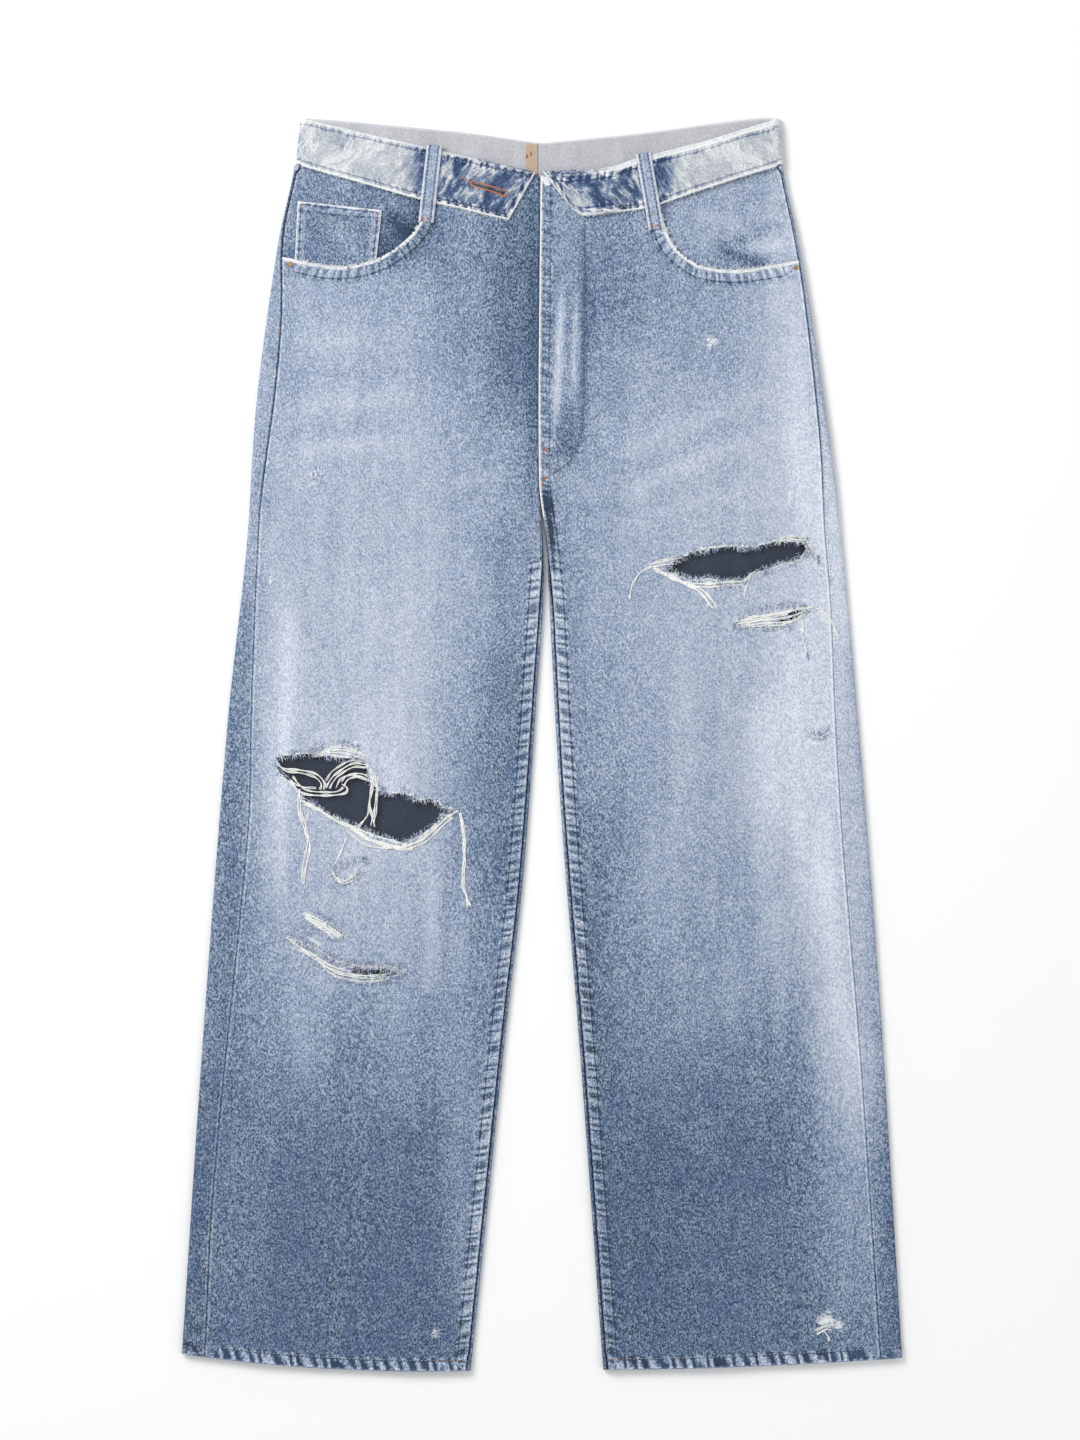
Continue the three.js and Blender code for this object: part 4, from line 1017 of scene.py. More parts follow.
def band_material():
    """The turned-down waistband: bleached at the sides, and navy with pale creases towards the middle, partly
    painted highlight and shade.
    """
    n, shader = new_material("crumpled band", 0.9, 0.05)
    place = n.place()
    weave = n.group("Denim weave", Vector=place)
    crumple = n.group("Crumpled cloth", Vector=place, Size=50.0)
    seam = n.seam_wear_and_shade()
    deep = n.attribute("deep")
    grain = n.swing(weave["Grain"], 0.3)
    # Patches and streaks of the crumples are partly faded cloth and partly painted shade and highlight
    patches = n.swing(crumple["Patches"], n.between(deep, 0.0, 1.0, 0.16, 0.3))
    streaks = n.times(crumple["Streaks"], n.between(deep, 0.0, 1.0, 0.05, 0.44))
    # worked: the dark of the seam grooves and puckers, partly painted shade
    worked = n.times(seam["Dark"], n.between(deep, 0.0, 1.0, 0.26, 0.5))
    wear = n.minus(n.times(seam["Pale"], 0.4), worked)
    ground = n.between(deep, 0.0, 1.0, 0.77, 0.24)
    tone = n.plus(ground, grain, patches, streaks, wear)
    c = colours()
    stops = [(0.0, shade(c.band_navy, 0.7)), (0.16, shade(c.band_navy)), (0.42, shade(c.band_blue)),
             (0.74, shade(c.bleached_band)), (1.0, shade(c.bare))]
    colour = n.ramp(tone, stops)
    threads = n.noise(n.stretched(place, (300, 600, 200)), 1.0, 3.0, 0.7)
    bare = n.plus(n.attribute("worn"), n.swing(threads, 0.6))
    n.set(shader, "Base Color", n.mix(n.between(bare, 0.4, 0.7, 0.0, 0.9), colour, shade(c.bare)))
    height = n.plus(n.times(weave["Height"], 0.3), n.times(crumple["Streaks"], 0.7))
    n.bump(shader, 0.7, 0.0012, height)


def band_inside_material():
    """The bleached inside of the back waistband, with the seam tape at its middle."""
    n, shader = new_material("bleached inside", 0.95)
    place = n.place()
    weave = n.group("Denim weave", Vector=place)
    cloud = n.group("Uneven wash", Vector=place)["Cloud"]
    base, tape = colours().bleached_inside, colours().seam_tape
    mixed = n.plus(n.times(weave["Grain"], 0.65), n.times(cloud, 0.35))
    cloth = n.mix(mixed, shade(base, 0.74), shade(base, 1.2))
    strip = n.attribute("strip")
    taped = n.mix(mixed, shade(tape, 0.8), shade(tape, 1.15))
    colour = n.mix(n.between(n.maths("ABSOLUTE", strip), 4.4, 5.2, 1.0, 0.0), cloth, taped)
    groove = n.between(n.apart(strip, 5.6), 0.3, 1.0, 0.7, 0.0)
    colour = n.mix(groove, colour, shade(base, 0.3))
    lip = n.between(n.attribute("edge"), 0.8, 2.2, 0.7, 0.0)
    n.set(shader, "Base Color", n.mix(lip, colour, shade(base, 1.3)))
    n.bump(shader, 0.5, 0.0006, weave["Height"])


def thread_material(name, colour, spread=0.2):
    n, shader = new_material(name, 0.8)
    place = n.place()
    fleck = n.noise(place, 900.0, 2.0, 0.6)
    patch = n.noise(place, 40.0, 2.0, 0.5)
    mixed = n.between(n.plus(n.times(fleck, 0.5), n.times(patch, 0.5)), 0.35, 0.65)
    n.set(shader, "Base Color", n.mix(mixed, shade(colour, 1 - spread), shade(colour, 1 + spread)))
    n.bump(shader, 0.4, 0.0002, fleck)


def metal_material():
    n, shader = new_material("dull brass", 0.42)
    shader.inputs["Metallic"].default_value = 1.0
    shader.inputs["Specular IOR Level"].default_value = 0.5
    tarnish = n.noise(n.place(), 500.0, 4.0, 0.6)
    brass = colours().metal
    n.set(shader, "Base Color", n.mix(n.between(tarnish, 0.35, 0.65), shade(brass, 0.6), shade(brass)))
    n.set(shader, "Roughness", n.between(tarnish, 0.3, 0.7, 0.6, 0.32))
    n.bump(shader, 0.3, 0.0002, tarnish)


def floor_material():
    n, shader = new_material("pale floor", 0.9)
    pale = colours().floor
    n.set(shader, "Base Color", n.mix(n.noise(n.place(), 30.0, 3.0, 0.5), shade(pale, 0.995), shade(pale)))


def make_materials():
    weave_group()
    mottle_group()
    seam_group()
    crumple_group()
    c = colours()
    denim_material()
    inside_material("shaded inside", c.shaded_inside)
    band_inside_material()
    band_material()
    thread_material("grey thread", c.grey_thread)
    thread_material("copper thread", c.copper_thread)
    thread_material("brown thread", c.brown_thread)
    thread_material("cream yarn", c.cream_yarn, 0.12)
    thread_material("blue yarn", c.blue_yarn, 0.25)
    thread_material("white yarn", c.white_yarn, 0.08)
    thread_material("zip tape", c.zip_tape)
    metal_material()
    floor_material()


def material(name):
    return bpy.data.materials[name]


# ------------------------------------------------------------
# Cloth pieces

def pucker(distance, run, pitch, reach, slant=0.9):
    """Small slanting ripples beside a seam."""
    phase = run + slant * distance + 9 * soft_noise(run, 0, 38, 17)
    return np.sin(2 * math.pi * phase / pitch) * bell(distance, reach)


def above_mouth(leg, mouth):
    """The outline of all that lies above a pocket opening, out past the side and the waist."""
    side, edge = leg.sign * PAST_SIDE, [tuple(p) for p in mouth]
    return [(side, edge[0][1]), *edge, (edge[-1][0] - leg.sign * 2, ABOVE_WAIST), (side, ABOVE_WAIST)]


def above_fold(leg):
    """The outline of all that lies above the fold of the turned-down end."""
    side, centre = leg.sign * PAST_SIDE, -leg.sign * PAST_CENTRE
    fold = [(x, y - FOLD_TUCK) for x, y in FOLD_LINE[leg.side]]
    return [(side, fold[0][1]), *fold, (centre, fold[-1][1]), (centre, ABOVE_WAIST), (side, ABOVE_WAIST)]


def cut_cloth(x, y, cuts):
    """Cuts cloth away along outlines: inside each one marked 1, outside each one marked -1.

    Gives its points, moved to the cut where they lie beyond it, the faces that stay, and how far each cut is.
    """
    moved, gone, distances = np.stack([x, y], -1), np.zeros(x.shape, bool), []
    for outline, cut_side in cuts:
        away, near = outline_distance(x, y, outline)
        beyond = away * cut_side < 0
        moved[beyond] = near[beyond]
        gone |= beyond
        distances.append(away)
    corners = gone[:-1, :-1].astype(int) + gone[1:, :-1] + gone[1:, 1:] + gone[:-1, 1:]
    return moved, corners < 3, distances


def front_detail(side, x, y, gaps):
    """Fine relief of a front: felled inseam, side ridge, fly, rope at the hem, pocket edge and rip edges."""
    closed = falloff(y, *CROTCH_RANGE)
    rise = 0.45 * soft_noise(x, y, 62, 3) + 0.22 * soft_noise(x, y, 23, 5) + 0.08 * soft_noise(x, y, 9, 7)
    rise *= smoothstep(np.minimum(gaps.side, gaps.inner), 0, 18)
    rise += 0.5 * bell(gaps.side - 1.4, 1.6) + 0.3 * pucker(gaps.side, y, 14, 9)
    felled = falloff(gaps.inner, 8.0, 9.6)
    rise += closed * (0.75 * felled + 0.42 * pucker(gaps.inner, y, 12, 11))
    rise += 0.3 * pucker(gaps.hem, x, 10.5, 13, 1.2) - 0.35 * bell(gaps.hem - HEM_DEPTH, 1.5)
    if side == "right":
        rise -= 1.2 * smoothstep(y, 138, 150) * falloff(y, 205, 222) * falloff(gaps.inner, 3, 9)
        placket = falloff(outline_distance(x, y, FLY_SHAPE)[0], -1.5, 1.0)
        edge_lift = (1 - closed) * bell(gaps.inner, 14)
        rise += 0.6 * placket + 0.7 * edge_lift + 0.25 * (1 - closed) * pucker(gaps.inner, y, 16, 6)
    else:
        rise -= 0.5 * (1 - closed) * bell(gaps.inner, 3.0)
    rise += 0.8 * falloff(gaps.mouth, 9.0, 11.0) * (0.8 + 0.2 * np.sin(gaps.mouth_run / 1.9))
    rise += 0.8 * bell(gaps.mouth - 1.6, 2.0) - 0.5 * bell(gaps.mouth - 11.5, 1.6)
    rise += np.exp(-gaps.rip / 5.0) * (0.9 * soft_noise(x, y, 11, 41) + 0.35)
    return rise


def front_seams(side, x, y, opened, gaps):
    """What the nearest seam does to each point: its distance, stitched line, place along, and pull."""
    hip = smoothstep(y, *SIDE_RANGE)
    placket_edge = opened & (side == "right")
    seams = [
        (gaps.side, lerp(-2.0, 0.0, hip), y / 14, lerp(0.8, 0.4, hip)),
        (gaps.inner, np.where(opened, np.where(placket_edge, 9.0, 1.0), 8.8), y / 8,
         np.where(placket_edge, 0.55, np.where(opened, 0.2, 1.0))),
        (gaps.hem, 9.0, x / 10.5, 1.6),
        (gaps.mouth, 10.6, gaps.mouth_run / 6.5, 0.7),
    ]
    edge, band, run, draw = 60.0, 0.0, 0.0, 0.0
    for gap, at, beats, strength in seams:
        nearer = gap < edge
        edge, band = np.where(nearer, gap, edge), np.where(nearer, at, band)
        run, draw = np.where(nearer, beats, run), np.where(nearer, strength, draw)
    return {"edge": edge, "band": band, "run": run, "draw": draw}


def front_wear(side, x, y, gaps):
    """How white a front is worn: at its spots, pocket opening, side ridge, hem, rips and fly edge."""
    worn = worn_through(x, y) * (0.85 + 0.25 * soft_noise(x, y, 6, 78))
    worn = np.maximum(worn, (0.8 + 0.2 * soft_noise(x, y, 6, 77)) * bell(gaps.mouth, 4.2, 4))
    worn = np.maximum(worn, (1 - smoothstep(y, *SIDE_RANGE)) * 0.5 * bell(gaps.side - 0.3, 0.8))
    worn = np.maximum(worn, 0.45 * bell(gaps.hem, 1.2))
    worn = np.maximum(worn, (0.5 + 0.25 * soft_noise(x, y, 7, 79)) * bell(gaps.rip, 3.0))
    if side == "right":
        worn = np.maximum(worn, smoothstep(y, 184, 198) * 0.95 * bell(gaps.inner, 2.2))
    return worn


def front_fade(side, x, y, opened, gaps):
    """The tone of a front: its wash, paler at the hem and inseam, with painted shade in the groove below the
    pocket opening and on the crotch seam under the fly.
    """
    # The band along the pocket opening is a little paler; the groove below it gets a painted shade
    fade = wash_tone(x, y) + 0.02 * (gaps.mouth < 10.4) - 0.14 * bell(gaps.mouth - 12.6, 2.2)
    fade = fade + 0.14 * falloff(gaps.hem, 8.6, 10.0) + 0.12 * (1 - opened) * falloff(gaps.inner, 8, 9)
    fade = fade + 0.42 * bell(gaps.hem - 10.8, 0.9)
    if side == "right":
        # Painted shade: the crotch seam below the fly, turned under, is darkened for the shadow it lies in
        under = smoothstep(y, 136, 150) * falloff(y, 206, 226)
        reach = lerp(3.0, 9.5, np.clip((y - 142) / 56, 0, 1))
        fade = fade - 0.85 * under * falloff(gaps.inner, reach - 1.0, reach + 0.6) * (gaps.inner > 1.8)
    return fade


def front_panel(side):
    """One front, with its pocket opening and rips cut out and its edges felled, stitched and frayed."""
    leg = LEGS[side]
    s = leg.section(np.linspace(0, 1, 340)[:, None])
    distance = lerp(s.seam, s.front_end, np.linspace(0, 1, 84)[None])
    flat = leg.place(s, distance, 0.0)
    mouth = rounded_line(POCKET_MOUTH[side], 60)
    cuts = [above_mouth(leg, mouth), above_fold(leg), *RIPS[side]]
    moved, keep, distances = cut_cloth(flat[..., 0], flat[..., 1], [(outline, 1) for outline in cuts])
    shift = moved - flat[..., :2]
    x, y = moved[..., 0], moved[..., 1]
    mouth_away, mouth_run = line_distance(x, y, mouth)
    gaps = SimpleNamespace(
        side=distance - s.seam, inner=s.front_end - distance, hem=(1 - s.row) * leg.length,
        mouth=mouth_away, mouth_run=mouth_run, rip=np.clip(np.min(distances[2:], axis=0), 0, 40))
    detail = front_detail(side, x, y, gaps)

    def skin(depth):
        points = leg.on_front(s, distance, depth)
        points[..., 2] += detail
        points[..., :2] += shift
        return points

    opened = np.broadcast_to(s.closed < 0.5, x.shape)
    line = LINE_MARK + outline_distance(x, y, FLY_SHAPE)[0] if side == "right" else 0
    attributes = {"fade": front_fade(side, x, y, opened, gaps), "worn": front_wear(side, x, y, gaps),
                  "line": line, **front_seams(side, x, y, opened, gaps)}
    made = wall(f"cloth_front_{side}", skin(s.half), skin(-s.half),
                ["washed denim", "shaded inside"], attributes, keep)
    declare(made, f"front_{side}", "denim", flat=(0.30, 1.06), held="laid", rests_on=[f"cloth_back_{side}"],
            area=0.262)


def back_layer(leg, row_of, name, counts, node, sheet):
    """A wall from the side seam round the outer fold, across underneath, and up to the inseam.

    The counts are its rows, and its columns on the front, on each fold and underneath.
    """
    row_count, lap_count, arc_count, flat_count = counts
    down = np.linspace(0, 1, row_count)[:, None]
    arc = np.linspace(0, 1, arc_count)[None]
    across = np.linspace(0, 1, flat_count)[None, 1:]

    def skin(sign):
        side, flat, inner = (leg.section(row_of(t, down)) for t in (0.0, across, 1.0))
        edge = side.seam - lerp(0.1, SIDE_SEAM_GAP, smoothstep(side.start[..., 1], *SIDE_RANGE))
        bend = side.radius + side.half
        turned = np.minimum(math.pi / 2, np.arccos(np.clip((bend - edge + 0.3) / side.radius, -1, 1)))
        foot = np.where(turned < math.pi / 2, edge - 0.3, bend)
        lap = np.maximum(lerp(edge, foot, np.linspace(0, 1, lap_count, endpoint=False)[None]), 0.1)
        return np.concatenate([
            leg.on_front(side, lap, sign * side.half),
            leg.on_outer_fold(side, lerp(turned, -math.pi / 2, arc), sign * side.half),
            leg.on_back(flat, lerp(flat.radius + flat.half, flat.fold_start, across), sign * flat.half),
            leg.on_inner_fold(inner, inner.turn * arc[:, 1:], sign * inner.half),
        ], axis=1)

    outer, inside = skin(1), skin(-1)
    x, y, z = outer[..., 0], outer[..., 1], outer[..., 2].copy()
    step = np.linalg.norm(np.diff(outer, axis=1), axis=2)
    from_seam = np.concatenate([np.zeros((len(step), 1)), np.cumsum(step, axis=1)], axis=1)
    edge = np.minimum(from_seam, from_seam[:, -1:] - from_seam)
    top, under = z > BACK_LIFT + 1.6, z < back_height(y)
    dents = np.maximum(soft_noise(x, y, 34, 91) + 0.4 * soft_noise(x, y, 12, 92), 0)
    for grid in (outer, inside):
        grid[..., 2] += 0.3 * pucker(from_seam, y, 15, 8) * top + 0.6 * under * dents
    along = np.linspace(0, 1, outer.shape[1])[None]
    hem_gap = y - lerp(HEM_SIDE[leg.side], HEM_INNER[leg.side], along)
    at_hem = (hem_gap < edge) & (hem_gap < 16)
    attributes = {"fade": wash_tone(x, y) - 0.04 * top, "worn": 0.3 * bell(from_seam, 1.0),
                  "edge": np.where(at_hem, hem_gap, edge), "band": np.where(at_hem, HEM_STITCH, 0.6),
                  "run": np.where(at_hem, x / 10.5, y / 14), "draw": np.where(at_hem, 1.0, 0.25)}
    made = wall(name, outer, inside, ["washed denim", "shaded inside"], attributes)
    declare(made, node, "denim", **sheet)


def back_panels(side):
    """The yoke and the back panel of one leg."""
    leg = LEGS[side]
    seam_row = SEAM_GAP / leg.length

    def waist(t):
        side, centre = BAND_SIDE_FOOT - SEAM_GAP, BAND_BACK_FOOT - SEAM_GAP
        return lerp(leg.row_at_side(side), leg.row_at_centre(centre), t)

    def yoke_foot(t):
        return lerp(leg.row_at_side(YOKE_SIDE), leg.row_at_centre(YOKE_CENTRE), t)

    back_layer(leg, lambda t, v: lerp(waist(t), yoke_foot(t), v), f"cloth_yoke_{side}", (26, 3, 7, 46),
               f"yoke_{side}", dict(flat=(0.23, 0.08), held="laid", area=0.0145))
    back_layer(leg, lambda t, v: lerp(yoke_foot(t) + seam_row, 1.0, v), f"cloth_back_{side}", (250, 7, 9, 56),
               f"back_{side}", dict(flat=(0.34, 1.0), held="folded", area=0.285))


def band_turn(side, t, angle, depth):
    """Points on the waistband's turn at a side, a share of the way down from its top to its foot."""
    sign = SIGN[side]
    edge = lerp(FOLD_LINE[side][0][0], FREE_EDGE[side][0][0], t)
    reach = BAND_RADIUS + depth
    x = edge - sign * (BAND_RADIUS + BAND / 2) + sign * reach * np.cos(angle)
    z = BAND_MIDDLE + reach * np.sin(angle)
    return np.stack(np.broadcast_arrays(x, lerp(WAIST_SIDE, BAND_SIDE_FOOT, t), z), -1)


# Where the seam tape crosses the back of the waistband
BAND_SEAM = -9.6


def back_band():
    """The back of the waistband; only its inside shows, above the turned-down front."""
    spine = rounded_line(BACK_BAND_TOP, 150)
    spine = spine[np.abs(spine[:, 0]) < 193]
    depth_t = np.array([0, 0.006, 0.02, 0.05, 0.1, 0.2, 0.3, 0.4, 0.5, 0.6, 0.7, 0.8, 0.9, 0.96, 1.0])
    end_angle = math.asin(SEAM_GAP / 2 / BAND_RADIUS)
    turns = lerp(-end_angle, -math.pi / 2, np.linspace(0, 1, 8))
    grids = []
    for skin_sign in (1, -1):
        rows = []
        for t in depth_t:
            squeeze = 0.2 + 0.8 * rounded_rim(t, 0.02)
            depth = skin_sign * BAND / 2 * squeeze
            left, right = band_turn("left", t, turns, depth), band_turn("right", t, turns, depth)[::-1]
            foot = lerp(BAND_BACK_FOOT, BAND_SIDE_FOOT, np.abs(spine[:, 0] + 2) / 207)
            y = lerp(spine[:, 1], foot, t)
            wave = 0.25 * np.sin(spine[:, 0] / 17) + 0.2 * soft_noise(spine[:, 0], y, 25, 21)
            z = BAND_LOW - depth + wave * (1 if skin_sign < 0 else 0.3)
            rows.append(np.vstack([left, np.stack([spine[:, 0], y, z], -1), right]))
        grids.append(np.array(rows))
    outer, inner = grids
    top_gap = (depth_t * 38)[:, None]
    attributes = {"fade": 0.62, "worn": 0.6 * bell(top_gap, 1.0), "edge": top_gap, "run": outer[..., 0] / 12,
                  "band": 3, "strip": outer[..., 0] - BAND_SEAM}
    made = wall("cloth_waistband_back", outer, inner, ["washed denim", "bleached inside"], attributes)
    declare(made, "waistband_back", "band_denim", flat=(0.44, 0.07), held="folded", area=0.0185)


def button_bulge(x, y):
    """How far the hidden button lifts the cloth over it."""
    away = np.hypot(x - WAIST_BUTTON.x, y - WAIST_BUTTON.y)
    return WAIST_BUTTON.rise * falloff(away, WAIST_BUTTON.clear, WAIST_BUTTON.slope)


# The free edge of the end on the right is rolled up as far out from the centre as this
ROLLED_TO = 62


def creased_depth(side, x, y):
    """How dark and creased a turned-down end is, from 0 to 1: most near the centre, and at a few spots."""
    deep = falloff(np.abs(x), 96, 122)
    if side == "left":
        deep = np.maximum(deep, 0.55 * spot(x, y, -207, 510, 8, 12, 0))
        deep = np.maximum(deep, 0.5 * spot(x, y, -114, 482, 12, 20, 30))
        streaks = 0.42 * spot(x, y, -165, 508, 16, 8, -12) + 0.2 * spot(x, y, -140, 480, 10, 8, 0)
        return np.maximum(deep, streaks)
    deep = np.maximum(deep, 0.35 * spot(x, y, 118, 478, 14, 16, 0) + 0.3 * spot(x, y, 196, 512, 8, 10, 0))
    return deep * (1 - 0.75 * spot(x, y, 34, 458, 20, 8, -35))


def end_waves(side, x, y, rim, from_fold, deep):
    """How far the crumpled cloth of a turned-down end rises and falls."""
    slant = (x + y) * 0.7071
    creases = 0.5 * soft_noise(slant * 2.2, (y - x) * 0.5, 13, 51) + 0.25 * soft_noise(x, y, 7, 52)
    calm = smoothstep(from_fold, 3, 9)
    waves = creases * (0.5 + 0.9 * deep) * calm
    if side == "right":
        near_end = falloff(x, 6, 40)
        waves += near_end * calm * (1.4 + 1.0 * np.sin((x + 0.8 * y) / 4.4))
        waves += 0.9 * (x < ROLLED_TO) * bell(rim - 2.6, 1.8) * calm
    return np.maximum(waves, -0.2)


def end_looks(side, x, y, rim, from_fold, deep):
    """The wear of a turned-down end: white along its fold and its free edge, with a painted shadow line along
    the roll where it is rolled.
    """
    rolled = (side == "right") & (x < ROLLED_TO)
    rim_width = np.where(rolled, 5.8 + 1.2 * np.sin((x - y) / 3.7), 1.9)
    worn = np.maximum(0.9 * bell(rim, rim_width, 4), 0.45 * bell(from_fold - 3.5, 2.5))
    lip, strength = (9.6, 0.95) if side == "right" else (7.0, 0.7)
    lip = lip + 0.8 * soft_noise(x, y, 9, 54)
    worn = np.maximum(worn, strength * bell(from_fold, lip, 8) * (np.abs(x) > 55))
    # Painted shadow: a thin dark line under the rolled edge
    roll_shadow_line = rolled & (np.abs(rim - 3.0 - 0.7 * np.sin((x - y) / 2.9)) < 0.7)
    edge = np.minimum(rim, np.maximum(from_fold - (lip - 2.2), 0))
    return {"deep": deep, "worn": np.where(roll_shadow_line, 0.15, worn), "edge": edge,
            "band": np.where(rolled, 7.4, 4.4), "run": x / 7, "draw": 0.3 + 0.5 * deep}


def turned_end(side):
    """One front end of the waistband, folded down: round at its fold, with a worn free edge."""
    sign = SIGN[side]
    outer_fold, inner_fold, turn_steps = 3.3, 0.9, 8
    outer_turn, inner_turn = BAND_RADIUS + BAND / 2, BAND_RADIUS - BAND / 2
    angles = np.linspace(math.asin(SEAM_GAP / 2 / BAND_RADIUS), math.pi / 2, turn_steps)
    alongs = np.concatenate([np.zeros(turn_steps), np.linspace(0.03, 0.985, 150), [0.992, 0.997, 1.0]])
    inward = np.concatenate([np.linspace(0.03, 0.94, 26), [0.965, 0.985, 0.995, 1.0]])
    top, foot = along_line(FOLD_LINE[side], alongs), along_line(FREE_EDGE[side], alongs)
    length = np.linalg.norm(top - foot, axis=1)

    def skin(turn_radius, fold_radius):
        shift, lift = np.zeros(len(top)), np.full(len(top), turn_radius)
        shift[:turn_steps] = outer_turn - turn_radius * np.cos(angles)
        lift[:turn_steps] = turn_radius * np.sin(angles)
        rows = [(outer_fold - fold_radius, -fold_radius - 2.4)]
        rows += [(outer_fold - fold_radius * math.cos(turn), fold_radius * (math.sin(turn) - 1))
                 for turn in np.linspace(0, math.pi / 2, 7)]
        rows += [(lerp(outer_fold, length, t), 0.0) for t in inward]
        grid = []
        for inset, drop in rows:
            x = lerp(top[:, 0], foot[:, 0], inset / length) - sign * shift
            y = lerp(top[:, 1], foot[:, 1], inset / length)
            grid.append(np.stack([x, y, BAND_MIDDLE + lift + drop + button_bulge(x, y)], -1))
        return np.array(grid)

    outer, inner = skin(outer_turn, outer_fold), skin(inner_turn, inner_fold)
    x, y = outer[..., 0], outer[..., 1]
    steps = np.linalg.norm(np.diff(outer, axis=0), axis=2)
    from_fold = np.concatenate([np.zeros((1, x.shape[1])), np.cumsum(steps, axis=0)])
    from_free = from_fold[-1:] - from_fold
    from_end = np.linalg.norm(outer - outer[:, -1:], axis=2)
    rim = np.minimum(from_free, from_end)
    deep = creased_depth(side, x, y)
    waves = end_waves(side, x, y, rim, from_fold, deep)
    middle, share = (outer + inner) / 2, (0.15 + 0.85 * rounded_rim(rim, 1.3))[..., None]
    outer, inner = (middle + (grid - middle) * share for grid in (outer, inner))
    for grid in (outer, inner):
        grid[..., 2] += waves
    stitched = bell(from_free - 3.6, 1.0) + bell(from_fold - 7.0, 1.0)
    outer[..., 2] -= 0.3 * np.minimum(stitched, 1)
    made = wall(f"cloth_turned_end_{side}", outer, inner, ["crumpled band"],
                end_looks(side, x, y, rim, from_fold, deep))
    declare(made, f"waistband_{side}", "band_denim", flat=(0.235, 0.06), held="folded",
            rests_on=[f"cloth_front_{side}"], area=0.0105)


# Creases of the facings, (start, end, half width, rise), whose rise also gives painted shade in the hollows
# and painted highlight on the ridges; the tone added to them all over, and the painted shadow taken off along
# the opening
FACING_CREASES = {
    "left": [((-130, 452), (-112, 428), 5, -0.7), ((-134, 440), (-122, 420), 4, 0.3)],
    "right": [((148, 421), (190, 406), 6, -0.9), ((156, 424), (176, 430), 4, -0.5),
              ((176, 433), (202, 441), 5, -0.35), ((172, 420), (206, 424), 5, 0.35),
              ((130, 450), (170, 440), 7, 0.3)],
}
FACING_TONE = {"left": (-0.1, 0.3), "right": (0.04, 0.12)}


def facing(side):
    """The denim that shows inside a pocket opening."""
    leg = LEGS[side]
    rows = np.linspace(0.002, 0.17, 60)[:, None]
    s = leg.section(rows)
    distance = lerp(s.seam, np.full_like(s.seam, 150.0), np.linspace(0, 1, 50)[None])
    flat = leg.place(s, distance, 0.0)
    x, y = flat[..., 0], flat[..., 1]
    mouth = rounded_line(POCKET_MOUTH[side], 40)
    lapped = mouth - [leg.sign * FACING_LAP[0], FACING_LAP[1]]
    moved, keep, _ = cut_cloth(x, y, [(above_mouth(leg, lapped), -1), (above_fold(leg), 1)])
    shift = moved - np.stack([x, y], -1)
    creases = np.zeros(x.shape)
    for start, end, half_width, rise in FACING_CREASES[side]:
        away, t = segment_distance(x, y, start, end)
        creases += rise * bell(away, half_width) * falloff(np.abs(t - 0.5), 0.35, 0.6)
    ripple = 0.35 * soft_noise(x, y, 20, 61) + 0.2 * soft_noise(x, y, 8, 62) - 0.4 + creases

    def skin(depth):
        points = leg.on_front(s, distance, depth - FACING_DROP)
        points[..., 2] += ripple
        points[..., :2] += shift
        return points

    added, shadow = FACING_TONE[side]
    # Painted shadow along the opening, and painted shade and highlight that follow the creases
    tone = wash_tone(x, y) + added - shadow * bell(line_distance(x, y, mouth)[0], 12) + 0.5 * creases
    attributes = {"fade": tone, "worn": 0, "edge": distance - s.seam, "run": y / 14}
    made = wall(f"cloth_facing_{side}", skin(DENIM / 2), skin(-DENIM / 2), ["washed denim"], attributes, keep)
    declare(made, f"pocket_facing_{side}", "denim", flat=(0.14, 0.145), held="laid", area=0.0145)


